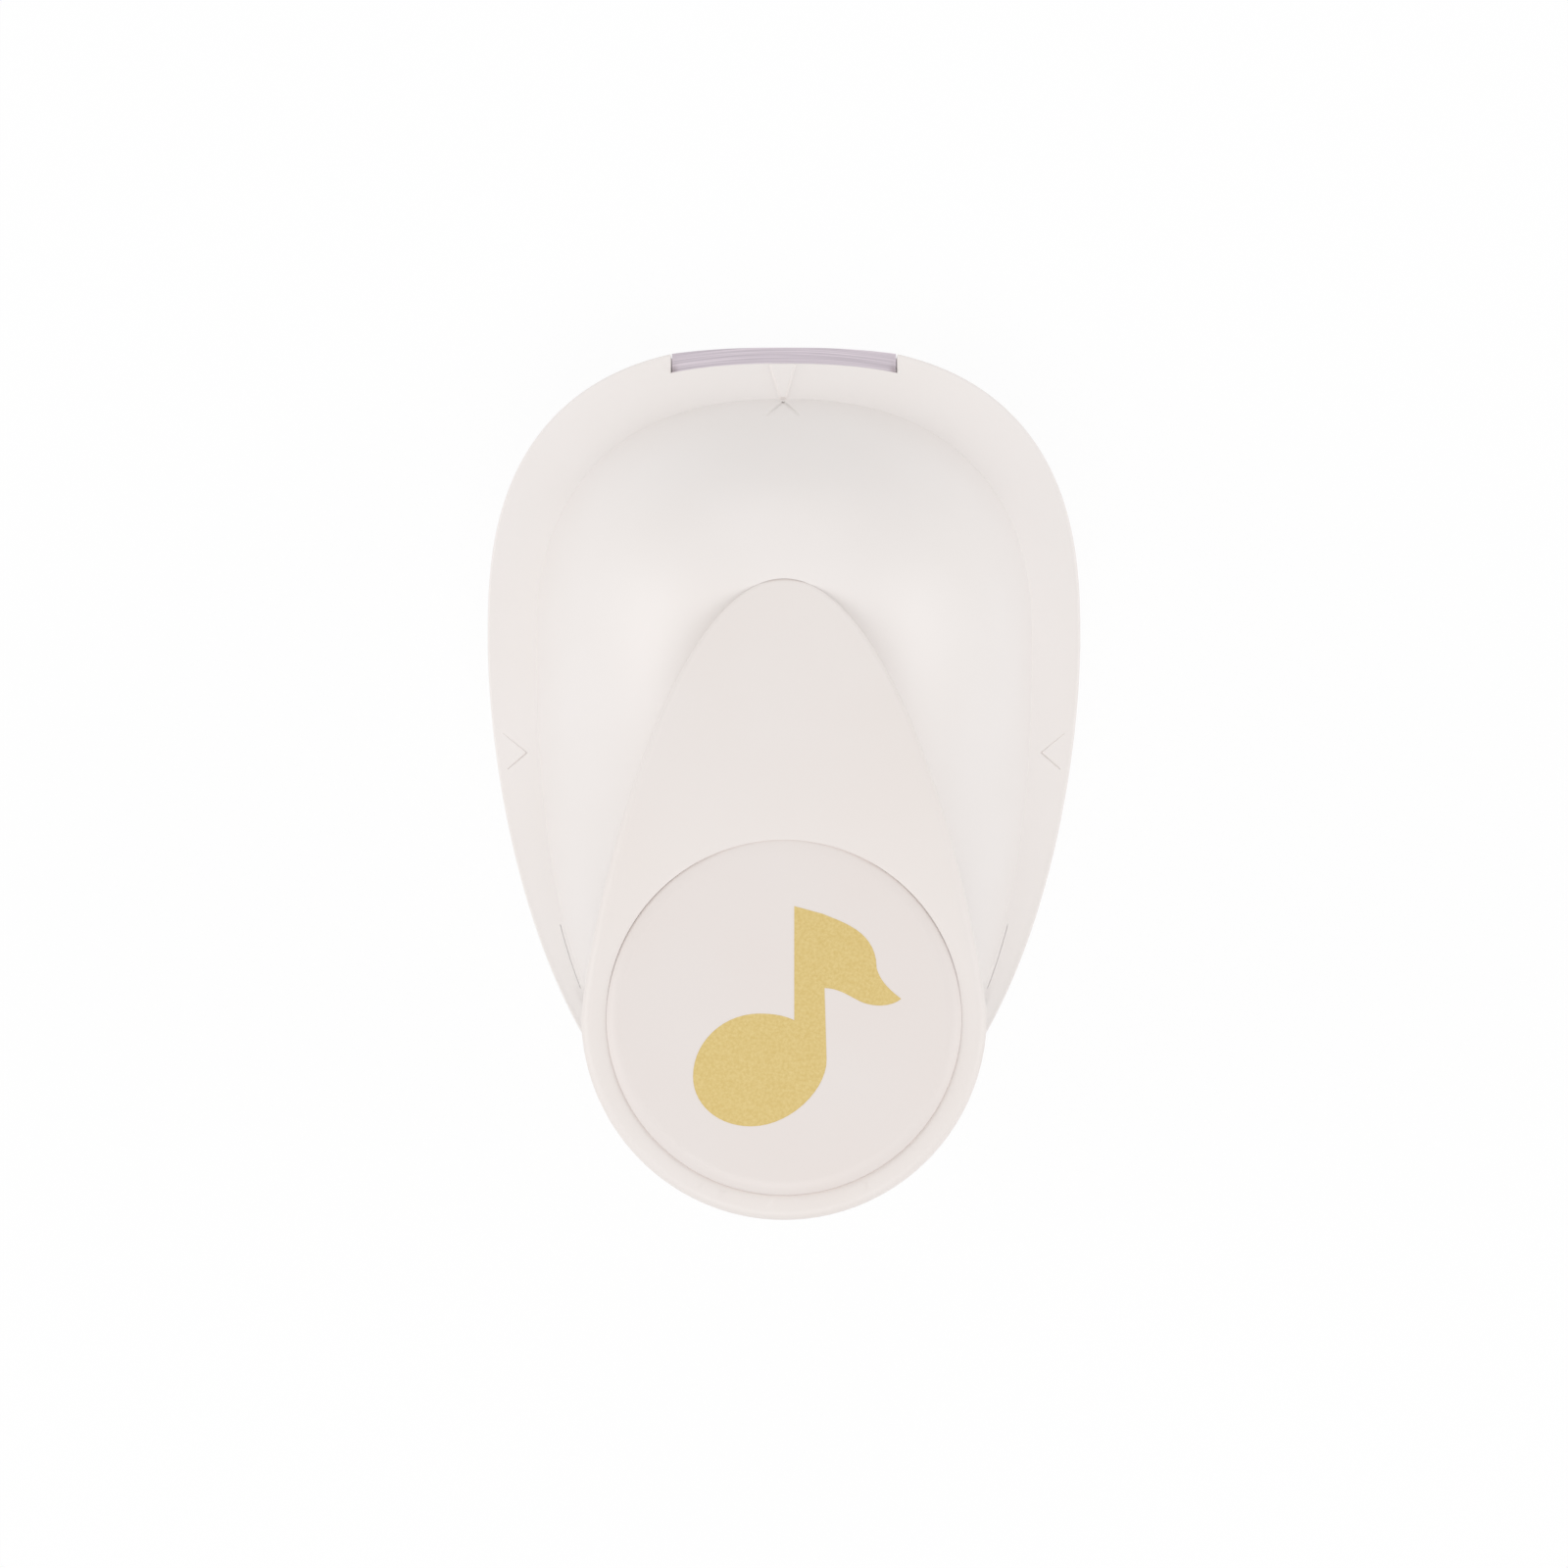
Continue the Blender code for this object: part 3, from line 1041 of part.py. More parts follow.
def make_return_spring(name, side, parts, steel):
    """Coil spring in the frame's pocket that lifts the punch plate."""
    low = POCKET_FLOOR_Z + SEAT_GAP + SPRING_WIRE_RADIUS
    high = PLATE_UNDER_Z - SEAT_GAP - SPRING_WIRE_RADIUS
    curve = bpy.data.curves.new(name, "CURVE")
    curve.dimensions = "3D"
    curve.bevel_depth = SPRING_WIRE_RADIUS
    curve.bevel_resolution = 1
    curve.use_fill_caps = True
    spline = curve.splines.new("POLY")
    steps = SPRING_TURNS * SPRING_STEPS
    spline.points.add(steps)
    for step, point in enumerate(spline.points):
        angle = 2 * math.pi * step / SPRING_STEPS
        height = low + (high - low) * step / steps
        point.co = (side * SPRING_X + SPRING_RADIUS * math.cos(angle),
                    PRESS_Y + SPRING_RADIUS * math.sin(angle), height, 1.0)
    drawn = bpy.data.objects.new(name, curve)
    parts.objects.link(drawn)
    spring = mesh_from(drawn, parts)
    spring.data.materials.append(steel)
    gap = (high - low) / SPRING_TURNS - 2 * SPRING_WIRE_RADIUS
    print(f"{name}: least gap between turns {gap * 1000:.2f} mm")
    return spring


# Putting it together

def add_joint_empty(name, place, collection):
    """An empty on a joint's axis that the moving pieces hang on."""
    empty = bpy.data.objects.new(name, None)
    empty.location = place
    collection.objects.link(empty)
    return empty


def carry(piece, joint):
    """Parents a piece to a joint's empty and leaves it where it is."""
    piece.parent = joint
    piece.location = [here - there for here, there in zip(piece.location, joint.location)]


def build():
    for item in list(bpy.data.objects):
        bpy.data.objects.remove(item)
    parts = new_collection("shape craft punch")
    cutters = new_collection("cutters")
    plastic = new_material("white plastic", (0.84, 0.81, 0.79), 0.42, 0.0)
    disc_plastic = new_material("disc plastic", (0.83, 0.79, 0.77), 0.40, 0.0)
    cover_plastic = new_material("lever plastic", (0.84, 0.80, 0.78), 0.42, 0.0)
    die_steel = new_material("die steel", (0.62, 0.58, 0.61), 0.35, 1.0)
    casting = new_material("zinc casting", (0.55, 0.55, 0.57), 0.45, 1.0)
    plated = new_material("plated steel", (0.70, 0.70, 0.72), 0.28, 1.0)
    hardened = new_material("hardened steel", (0.48, 0.48, 0.50), 0.25, 1.0)

    lever_joint = add_joint_empty("lever pivot", (0.0, PIVOT_Y, PIVOT_Z), parts)
    punch_joint = add_joint_empty("punch slide", (0.0, PRESS_Y, PLATE_TOP_Z), parts)

    make_base_tray(parts, cutters, plastic)
    make_upper_housing(parts, cutters, plastic)
    make_die_plate(parts, die_steel)
    make_guide_frame(parts, cutters, casting)
    make_gap_spacer(parts, die_steel)
    make_rivets(parts, plated)
    make_pivot_pin(parts, plated)
    make_pin_clip("pin_clip_left", -1, parts, plated)
    make_pin_clip("pin_clip_right", 1, parts, plated)

    lever_pieces = [make_lever_arm(parts, cutters, plated), make_lever_cover(parts, cutters, cover_plastic),
                    make_pad_disc(parts, disc_plastic), *make_press_roller(parts, cutters, hardened)]
    for piece in lever_pieces:
        carry(piece, lever_joint)
    punch_pieces = [make_punch_plate(parts, cutters, plated), make_note_cutter(parts, cutters, hardened)]
    for piece in punch_pieces:
        carry(piece, punch_joint)
    make_screws(parts, plated, lever_joint, punch_joint)
    for name, side in (("left", -1), ("right", 1)):
        make_spring_post(f"spring_post_{name}", side, parts, hardened)
        make_return_spring(f"return_spring_{name}", side, parts, hardened)


build()
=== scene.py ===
"""Looks of a lever craft punch that cuts an eighth note out of paper.

Metres, +Z up. The paper goes in at +Y and the thumb pad is at -Y. The file follows the punch
as it is put together, from the base tray to the note printed on the thumb pad.
"""

import math

import bmesh
import bpy
from mathutils import Matrix, Vector


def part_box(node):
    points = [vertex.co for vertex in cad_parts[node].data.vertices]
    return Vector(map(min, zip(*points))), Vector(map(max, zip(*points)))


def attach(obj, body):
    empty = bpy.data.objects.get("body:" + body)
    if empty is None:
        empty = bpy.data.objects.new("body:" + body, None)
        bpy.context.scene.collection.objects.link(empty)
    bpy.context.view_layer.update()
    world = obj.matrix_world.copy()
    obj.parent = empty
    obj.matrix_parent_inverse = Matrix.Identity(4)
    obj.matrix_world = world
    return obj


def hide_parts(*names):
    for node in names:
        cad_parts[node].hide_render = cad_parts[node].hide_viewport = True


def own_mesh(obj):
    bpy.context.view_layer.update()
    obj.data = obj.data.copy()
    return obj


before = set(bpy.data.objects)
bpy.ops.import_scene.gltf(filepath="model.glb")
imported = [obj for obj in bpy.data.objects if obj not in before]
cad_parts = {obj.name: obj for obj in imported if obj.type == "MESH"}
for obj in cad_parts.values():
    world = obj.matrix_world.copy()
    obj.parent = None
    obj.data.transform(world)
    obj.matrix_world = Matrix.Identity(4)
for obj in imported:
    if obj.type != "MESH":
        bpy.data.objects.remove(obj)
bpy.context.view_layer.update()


# Base tray: the foot of the punch, one white moulding with a hollow underside. Ribs stiffen the
# paper table, three bosses take the screws, and the cut notes fall out through the window.
# Injection moulded in ABS, with a small rounding on every edge.

base_low, base_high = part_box("base_tray")
die_low, die_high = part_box("die_plate")
spacer_low, spacer_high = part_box("gap_spacer")
SEAT_GAP = 0.0003
OVERRUN = 0.001
MERGE_DISTANCE = 0.000001
TABLE_Z = die_high.z
THROAT_END_Y = spacer_high.y
BODY_WIDEST_Y = 0.0143
BODY_EGG = (base_high.x, base_high.y - BODY_WIDEST_Y, BODY_WIDEST_Y - base_low.y, (2.6, 2.6), (2.3, 1.8))
BODY_STEPS = 256
BASE_WALL = 0.0026
BASE_DRAFT = 0.0003
BASE_FOOT_ROUNDING = 0.0012
BASE_EDGE_ROUNDING = 0.0004
BASE_SMALL_ROUNDING = 0.00022
DECK_THICKNESS = 0.0035
WINDOW_HALF_WIDTH = 0.0135
WINDOW_Y = (-0.0109, 0.0151)
RIB_THICKNESS = 0.0014
RIB_FOOT_Z = 0.0015
RIB_YS = (0.0245, -0.0195)
RIB_X = 0.0205
BASE_BOSS_RADIUS = 0.0046
HEAD_RECESS_Z = 0.005
SCREW_CLEARANCE_RADIUS = 0.0018
HEAD_CLEARANCE_RADIUS = 0.0032


def only(piece):
    """Makes a piece the one that operators act on."""
    bpy.ops.object.select_all(action="DESELECT")
    piece.select_set(True)
    bpy.context.view_layer.objects.active = piece
    return piece


def full_turn(steps):
    """The angles of evenly spaced steps round a circle."""
    return [2 * math.pi * step / steps for step in range(steps)]


def between(start, end, share):
    """The place at a share of the way from one to another."""
    return tuple(a + (b - a) * share for a, b in zip(start, end))


def egg(plan, inset=0.0, share=1.0):
    """An egg outline, drawn in by an inset or shrunk by a share, from the paper end round."""
    half_width, front, rear, front_powers, rear_powers = plan
    points = []
    for turn in full_turn(BODY_STEPS):
        across = math.sin(turn)
        along = math.cos(turn)
        reach, powers = (front, front_powers) if along >= 0 else (rear, rear_powers)
        x = math.copysign((half_width - inset) * share * abs(across) ** (2 / powers[0]), across)
        y = math.copysign((reach - inset) * share * abs(along) ** (2 / powers[1]), along)
        points.append((x, BODY_WIDEST_Y + y))
    return points


def level(outline, height):
    """An outline at one height."""
    return [(x, y, height) for x, y in outline]


def quarter_round(radius, steps=4):
    """Pairs of how far in and how far down a rounded edge lies, from its side to its top."""
    turns = [math.radians(90) * step / steps for step in range(steps + 1)]
    return [(radius * (1 - math.cos(turn)), radius * (1 - math.sin(turn))) for turn in turns]


def shape_selected(piece, ring):
    """Moves the selected points to their places on a ring; each point keeps its number when extruded."""
    bm = bmesh.from_edit_mesh(piece.data)
    number = bm.verts.layers.int["number"]
    for vert in bm.verts:
        if vert.select:
            vert.co = ring[vert[number]]
    bmesh.update_edit_mesh(piece.data)


def loft(name, rings, drawn_in=False):
    """A shell made by hand: a circle is shaped to the first ring and extruded to each further one.

    A shell that is drawn in starts and ends in rings whose points meet, and these are merged.
    """
    bpy.ops.object.select_all(action="DESELECT")
    bpy.ops.mesh.primitive_circle_add(vertices=len(rings[0]), radius=base_high.x, fill_type="NOTHING")
    piece = bpy.context.object
    piece.name = name
    bpy.ops.object.mode_set(mode="EDIT")
    bm = bmesh.from_edit_mesh(piece.data)
    number = bm.verts.layers.int.new("number")
    for place, vert in enumerate(bm.verts):
        vert[number] = place
    shape_selected(piece, rings[0])
    for ring in rings[1:]:
        bpy.ops.mesh.extrude_region_move()
        shape_selected(piece, ring)
    if drawn_in:
        bpy.ops.mesh.select_all(action="SELECT")
        bpy.ops.mesh.remove_doubles(threshold=MERGE_DISTANCE)
    else:
        bpy.ops.mesh.edge_face_add()
        bpy.ops.mesh.select_all(action="DESELECT")
        bpy.ops.mesh.select_non_manifold()
        bpy.ops.mesh.edge_face_add()
    bpy.ops.mesh.select_all(action="SELECT")
    bpy.ops.mesh.normals_make_consistent(inside=False)
    bpy.ops.object.mode_set(mode="OBJECT")
    return piece


def settle(name):
    """Names the primitive that was just added and moves its place, turn and size into its mesh."""
    piece = bpy.context.object
    piece.name = name
    bpy.ops.object.transform_apply(location=True, rotation=True, scale=True)
    return piece


def block(name, low, high):
    """A cube added at the size and place of two corners."""
    bpy.ops.object.select_all(action="DESELECT")
    middle = [(a + b) / 2 for a, b in zip(low, high)]
    size = [b - a for a, b in zip(low, high)]
    bpy.ops.mesh.primitive_cube_add(size=1.0, location=middle, scale=size)
    return settle(name)


def bar(name, radius, low, high, centre=(0.0, 0.0), along_x=False, sides=64):
    """A cylinder, upright at an XY place or along X at a YZ place."""
    bpy.ops.object.select_all(action="DESELECT")
    middle = (low + high) / 2
    place = (middle, *centre) if along_x else (*centre, middle)
    turn = (0.0, math.radians(90), 0.0) if along_x else (0.0, 0.0, 0.0)
    bpy.ops.mesh.primitive_cylinder_add(vertices=sides, radius=radius, depth=high - low, location=place,
                                        rotation=turn)
    return settle(name)


def holes(name, radius, low, high, places):
    """Upright cutters at several places, for holes right through from low to high."""
    return [bar(name, radius, low - OVERRUN, high + OVERRUN, place) for place in places]


def apply_modifier(piece, modifier):
    """Applies a modifier."""
    only(piece)
    bpy.ops.object.modifier_apply(modifier=modifier.name)
    return piece


def combine(piece, tools, operation="DIFFERENCE"):
    """Cuts a piece with tools, or joins them to it; the tools are used up."""
    for tool in tools:
        modifier = piece.modifiers.new("shape", "BOOLEAN")
        modifier.operation = operation
        modifier.object = tool
        apply_modifier(piece, modifier)
        bpy.data.objects.remove(tool)
    return piece


def soften(piece, width, segments=3, angle=40):
    """Rounds every edge that is sharper than an angle."""
    bevel = piece.modifiers.new("edge rounding", "BEVEL")
    bevel.width = width
    bevel.segments = segments
    bevel.limit_method = "ANGLE"
    bevel.angle_limit = math.radians(angle)
    bevel.use_clamp_overlap = True
    return apply_modifier(piece, bevel)


def linear(hex_colour):
    """A written sRGB colour as the linear values that the shader takes."""
    channels = [int(hex_colour[place:place + 2], 16) / 255 for place in (0, 2, 4)]
    return [c / 12.92 if c <= 0.04045 else ((c + 0.055) / 1.055) ** 2.4 for c in channels] + [1.0]


def add_node(material, kind, settings=None, links=None):
    """Adds one node; text settings are its fields or sockets, numbers are socket places."""
    made = material.node_tree.nodes.new(kind)
    for name, value in (settings or {}).items():
        if isinstance(name, str) and hasattr(made, name):
            setattr(made, name, value)
        else:
            made.inputs[name].default_value = value
    for name, source in (links or {}).items():
        material.node_tree.links.new(source, made.inputs[name])
    return made


def new_material(name, colour, roughness, metallic=0.0, ior=1.5):
    """A material with one Principled shader and the object's own coordinates."""
    material = bpy.data.materials.new(name)
    material.use_nodes = True
    shader = material.node_tree.nodes["Principled BSDF"]
    shader.inputs["Base Color"].default_value = linear(colour)
    shader.inputs["Roughness"].default_value = roughness
    shader.inputs["Metallic"].default_value = metallic
    shader.inputs["IOR"].default_value = ior
    place = add_node(material, "ShaderNodeTexCoord").outputs["Object"]
    return material, shader, place


def finish_surface(material, shader, pattern, colours, gloss, relief, bump):
    """Lets a pattern choose between two near colours and glosses, and raises a relief as a bump.

    Colours and gloss are pairs; the bump is its strength and its height in metres.
    """
    tint = add_node(material, "ShaderNodeMix",
                    {"data_type": "RGBA", 6: linear(colours[0]), 7: linear(colours[1])}, {0: pattern})
    sheen = add_node(material, "ShaderNodeMapRange", {"To Min": gloss[0], "To Max": gloss[1]},
                     {"Value": pattern})
    raised = add_node(material, "ShaderNodeBump", {"Strength": bump[0], "Distance": bump[1]},
                      {"Height": relief})
    for source, socket in ((tint.outputs[2], "Base Color"), (sheen.outputs["Result"], "Roughness"),
                           (raised.outputs["Normal"], "Normal")):
        material.node_tree.links.new(source, shader.inputs[socket])
    return material


def moulded_abs(name, colour, warm_colour):
    """Injection-moulded ABS: a satin skin from a spark-eroded mould, even and slightly waxy.

    The mould's grain is 0.05 mm on the real piece and is drawn at 0.22 mm, so that it shows.
    """
    material, shader, place = new_material(name, colour, 0.44, ior=1.54)
    grain_size = 0.00022
    flow_size = 0.018
    grain = add_node(material, "ShaderNodeTexNoise",
                     {"Scale": 1 / grain_size, "Detail": 3.0, "Roughness": 0.6}, {"Vector": place})
    flow = add_node(material, "ShaderNodeTexNoise", {"Scale": 1 / flow_size, "Detail": 2.0},
                    {"Vector": place})
    return finish_surface(material, shader, flow.outputs["Fac"], (colour, warm_colour), (0.4, 0.48),
                          grain.outputs["Fac"], (0.35, 0.00001))


def fit_out(piece, body, material, slot, *nodes, smooth_angle=35):
    """Gives a finished piece its surface and its body, and hides the solids that it stands for. The slot is
    not used.
    """
    only(piece)
    bpy.ops.object.shade_smooth_by_angle(angle=math.radians(smooth_angle))
    piece.data.materials.clear()
    piece.data.materials.append(material)
    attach(piece, body)
    if nodes:
        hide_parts(*nodes)
    return piece


# Painted light: the housing and the base take a lighter copy of the same white ABS that the lever and disc
# use. The extra lightness stands for the brighter light on the flanges.
white_abs_painted_light = moulded_abs("moulded white ABS", "EEE9E7", "EAE4E0")


def middle_of(node):
    """The middle of a solid's box."""
    low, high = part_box(node)
    return (low + high) / 2


def places_of(node, count):
    """Where each of several like solids stands, seen from above."""
    return [middle_of(f"{node}_{number}").xy for number in range(1, count + 1)]


housing_screw_places = places_of("housing_screw", 3)


def offset_outline(outline, distance):
    """Moves each side of a closed outline outwards by a distance."""
    count = len(outline)
    area = sum(outline[here - 1][0] * outline[here][1] - outline[here][0] * outline[here - 1][1]
               for here in range(count))
    side = math.copysign(1.0, area)
    moved = []
    for here in range(count):
        corners = (outline[here - 1], outline[here], outline[(here + 1) % count])
        mean = Vector((0.0, 0.0))
        for start, end in zip(corners, corners[1:]):
            run = Vector((end[0] - start[0], end[1] - start[1])).normalized()
            mean += Vector((side * run.y, -side * run.x))
        shift = mean * (2 * distance / mean.length_squared)
        moved.append((outline[here][0] + shift.x, outline[here][1] + shift.y))
    return moved


NOTCH_HALF_WIDTH = 0.0123
TONGUE_GAP = 0.00008
TONGUE_CROWN = 0.00068
TONGUE_POWER = 2.47
TONGUE_START_Y = 0.03
TONGUE_STEPS = 24


def die_outline(gap=0.0, overrun=0.0):
    """The die plate from above: a wide rear part and a tongue that reaches the front edge."""
    half_width = die_high.x + gap
    shoulder_y = TONGUE_START_Y + gap
    tongue = NOTCH_HALF_WIDTH - TONGUE_GAP + min(gap, TONGUE_GAP)
    side = [(half_width, die_low.y - gap), (half_width, shoulder_y), (tongue, shoulder_y)]
    front = []
    for step in range(TONGUE_STEPS + 1):
        x = tongue - 2 * tongue * step / TONGUE_STEPS
        front.append((x, base_high.y - TONGUE_CROWN * abs(x / tongue) ** TONGUE_POWER + overrun))
    return side + front + [(-x, y) for x, y in reversed(side)]


def flat_piece(name, outline, low, high):
    """A flat outline extruded to its thickness."""
    return loft(name, [level(outline, low), level(outline, high)])


def make_base_tray():
    foot = [level(egg(BODY_EGG, inset), drop) for drop, inset in quarter_round(BASE_FOOT_ROUNDING)]
    rim = [level(egg(BODY_EGG, inset), base_high.z - drop)
           for inset, drop in quarter_round(BASE_EDGE_ROUNDING)]
    tray = loft("base_tray_shell", foot + rim)
    deck_under_z = TABLE_Z - DECK_THICKNESS
    hollow = loft("hollow", [level(egg(BODY_EGG, BASE_WALL), -OVERRUN),
                             level(egg(BODY_EGG, BASE_WALL + BASE_DRAFT), deck_under_z)])
    half = RIB_THICKNESS / 2
    kept = [block("cross rib", (-base_high.x, y - half, RIB_FOOT_Z), (base_high.x, y + half, TABLE_Z))
            for y in RIB_YS]
    kept += [block("long rib", (x - half, RIB_YS[1], RIB_FOOT_Z), (x + half, RIB_YS[0], TABLE_Z))
             for x in (-RIB_X, RIB_X)]
    kept += [bar("boss", BASE_BOSS_RADIUS, RIB_FOOT_Z, TABLE_Z, place) for place in housing_screw_places]
    combine(hollow, kept)
    tools = [
        hollow,
        block("paper table", (-2 * base_high.x, THROAT_END_Y, TABLE_Z),
              (2 * base_high.x, 2 * base_high.y, base_high.z + OVERRUN)),
        flat_piece("die seat", die_outline(SEAT_GAP, OVERRUN), die_low.z - SEAT_GAP,
                   base_high.z + OVERRUN),
        block("window", (-WINDOW_HALF_WIDTH, WINDOW_Y[0], deck_under_z - OVERRUN),
              (WINDOW_HALF_WIDTH, WINDOW_Y[1], TABLE_Z)),
        *holes("screw hole", SCREW_CLEARANCE_RADIUS, 0.0, base_high.z, housing_screw_places),
    ]
    tools += [bar("head recess", HEAD_CLEARANCE_RADIUS, -OVERRUN, HEAD_RECESS_Z, place)
              for place in housing_screw_places]
    combine(tray, tools)
    soften(tray, BASE_SMALL_ROUNDING)
    return fit_out(tray, "body", white_abs_painted_light, "body_plastic", "base_tray")


make_base_tray()


# Die plate: hardened tool steel, ground flat, with the note cut right through it. Its tongue reaches
# the front edge, where it shows in the notch of the housing. It lies in a seat of the base tray.

NOTE_HEIGHT = 0.0225
NOTE_STEPS = 14
CLEARANCE_STEPS = 6
NOTE_STEM_TOP_SHARES = (-0.013, 0.502)
NOTE_CURVE_SHARES = (
    ((0.116, 0.467), (0.20, 0.43), (0.36, 0.39), (0.36, 0.222)),
    ((0.36, 0.222), (0.375, 0.16), (0.42, 0.12), (0.471, 0.08)),
    ((0.471, 0.08), (0.43, 0.045), (0.35, 0.04), (0.289, 0.067)),
    ((0.289, 0.067), (0.24, 0.09), (0.19, 0.129), (0.124, 0.129)),
    ((0.133, -0.196), (0.135, -0.33), (-0.03, -0.498), (-0.209, -0.498)),
    ((-0.209, -0.498), (-0.36, -0.498), (-0.471, -0.40), (-0.471, -0.271)),
    ((-0.471, -0.271), (-0.471, -0.12), (-0.34, 0.013), (-0.17, 0.013)),
    ((-0.17, 0.013), (-0.11, 0.013), (-0.05, 0.003), (-0.013, -0.018)),
)
DIE_CLEARANCE = 0.0003
RIVET_RADIUS = 0.0015
RIVET_HOLE_RADIUS = RIVET_RADIUS + SEAT_GAP
GROUND_EDGE_ROUNDING = 0.00008
FRONT_ARC_BEND = 7.0


def note_outline(centre, height, steps=NOTE_STEPS):
    """The eighth note, from the top of its stem round by the flag and the head."""
    shares = [NOTE_STEM_TOP_SHARES]
    for number, corners in enumerate(NOTE_CURVE_SHARES):
        for step in range(steps):
            along = step / steps
            rest = 1 - along
            weights = (rest ** 3, 3 * along * rest ** 2, 3 * along ** 2 * rest, along ** 3)
            shares.append(tuple(sum(w * p[axis] for w, p in zip(weights, corners)) for axis in (0, 1)))
        if number in (3, 7):
            shares.append(corners[3])
    return [(centre[0] + x * height, centre[1] + y * height) for x, y in shares]


def metal(name, dark, light, roughness, grain, bump_depth, bend=0.0):
    """A metal whose tool marks are a noise stretched to grain, the size of a mark along x, y and z.

    Where a bend is given, the marks follow the curve of the front edge.
    """
    material, shader, place = new_material(name, light, roughness, metallic=1.0)
    if bend:
        split = add_node(material, "ShaderNodeSeparateXYZ", {}, {0: place})
        square = add_node(material, "ShaderNodeMath", {"operation": "MULTIPLY"},
                          {0: split.outputs["X"], 1: split.outputs["X"]})
        bent = add_node(material, "ShaderNodeMath", {"operation": "MULTIPLY_ADD", 1: bend},
                        {0: square.outputs[0], 2: split.outputs["Y"]})
        place = add_node(material, "ShaderNodeCombineXYZ", {},
                         {"X": split.outputs["X"], "Y": bent.outputs[0], "Z": split.outputs["Z"]}).outputs[0]
    scaled = add_node(material, "ShaderNodeVectorMath",
                      {"operation": "MULTIPLY", 1: tuple(1 / size for size in grain)}, {0: place})
    marks = add_node(material, "ShaderNodeTexNoise", {"Scale": 1.0, "Detail": 3.0, "Roughness": 0.6},
                     {"Vector": scaled.outputs[0]})
    contrast = add_node(material, "ShaderNodeMapRange", {"From Min": 0.35, "From Max": 0.65},
                        {"Value": marks.outputs["Fac"]})
    return finish_surface(material, shader, contrast.outputs["Result"], (dark, light),
                          (roughness * 0.85, roughness * 1.2), marks.outputs["Fac"], (0.6, bump_depth))


# Surface-ground tool steel: long fine scratches, a real 0.01 mm apart and drawn at 0.12 mm, that
# run with the front edge and give it a lilac grey look with lighter and darker lines.
ground_steel = metal("ground tool steel", "B6ADB5", "DAD0D7", 0.34, (0.02, 0.00012, 0.0004), 0.000004,
                     bend=FRONT_ARC_BEND)

punch_centre = middle_of("note_cutter").xy
rivet_places = places_of("unit_rivet", 4)


def clearance_outline():
    """The hole that the cutter slides in."""
    return offset_outline(note_outline(punch_centre, NOTE_HEIGHT, CLEARANCE_STEPS), DIE_CLEARANCE)


def make_die_plate():
    plate = flat_piece("die_plate_steel", die_outline(), die_low.z, die_high.z)
    hole = flat_piece("die hole", clearance_outline(), die_low.z - OVERRUN, die_high.z + OVERRUN)
    combine(plate, [hole, *holes("rivet hole", RIVET_HOLE_RADIUS, die_low.z, die_high.z, rivet_places)])
    soften(plate, GROUND_EDGE_ROUNDING, segments=2, angle=50)
    return fit_out(plate, "body", ground_steel, "die_steel", "die_plate")


make_die_plate()


# Punch unit: a spacer strip as thick as the paper gap and a die-cast zinc frame on top of it. The
# frame guides the cutter, has a pocket for each return spring and carries the two pivot ears.
# Four rivets with flush ends hold die plate, spacer and frame together.

frame_low, frame_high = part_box("guide_frame")
pivot = middle_of("pivot_pin")
FRAME_STEP_Y = -0.0115
FRAME_CORNER = 0.003
FRAME_TOP_Z = 0.0186
FRAME_FOOT_TOP_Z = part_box("unit_rivet_1")[1].z
EAR_RADIUS = frame_high.z - pivot.z
EAR_INNER_X = 0.0089
EAR_OUTER_X = 0.0119
PIN_RADIUS = 0.002
POCKET_RADIUS = 0.0029
POCKET_FLOOR_Z = 0.015
POST_RADIUS = 0.0012
EJECTOR_DENT_RADIUS = 0.0011
EJECTOR_DENT_DEPTH = 0.00012
SPACER_EDGE_ROUNDING = 0.00006
CAST_EDGE_ROUNDING = 0.0002

# Die-cast zinc: a cool grey skin, slightly clouded where the metal flowed, with a fine matt grain.
zinc_casting = metal("die-cast zinc", "8C8E92", "A6A8AC", 0.48, (0.0016, 0.0016, 0.0016), 0.00001)


def rounded_box(low, high, radius, steps=8):
    """The outline of a flat piece with round corners."""
    quarter = math.radians(90)
    centres = ((high[0] - radius, high[1] - radius), (low[0] + radius, high[1] - radius),
               (low[0] + radius, low[1] + radius), (high[0] - radius, low[1] + radius))
    points = []
    for turn, centre in enumerate(centres):
        points += arc(centre, radius, quarter * turn, quarter * (turn + 1), steps)
    return points


def arc(centre, radius, start, end, steps):
    """Points on a round stretch, from one angle to another."""
    turns = [start + (end - start) * step / steps for step in range(steps + 1)]
    return [(centre[0] + radius * math.cos(turn), centre[1] + radius * math.sin(turn)) for turn in turns]


def sideways_piece(name, outline, low_x, high_x):
    """A side view, given as y and z, extruded across."""
    return loft(name, [[(x, y, z) for y, z in outline] for x in (low_x, high_x)])


def frame_outline(gap=0.0):
    """The block of the frame round the cutter, from above."""
    return rounded_box((frame_low.x - gap, FRAME_STEP_Y - gap), (frame_high.x + gap, frame_high.y + gap),
                       FRAME_CORNER)


def foot_outline(gap=0.0):
    """The low foot of the frame, riveted down behind the block."""
    return rounded_box((die_low.x - gap, die_low.y - gap), (die_high.x + gap, FRAME_STEP_Y + FRAME_CORNER),
                       FRAME_CORNER / 2)


def make_gap_spacer():
    outline = rounded_box(spacer_low.xy, spacer_high.xy, FRAME_CORNER / 3)
    spacer = flat_piece("gap_spacer_strip", outline, spacer_low.z, spacer_high.z)
    combine(spacer, holes("rivet hole", RIVET_HOLE_RADIUS, spacer_low.z, spacer_high.z, rivet_places))
    soften(spacer, SPACER_EDGE_ROUNDING, segments=2)
    return fit_out(spacer, "body", ground_steel, "die_steel", "gap_spacer")


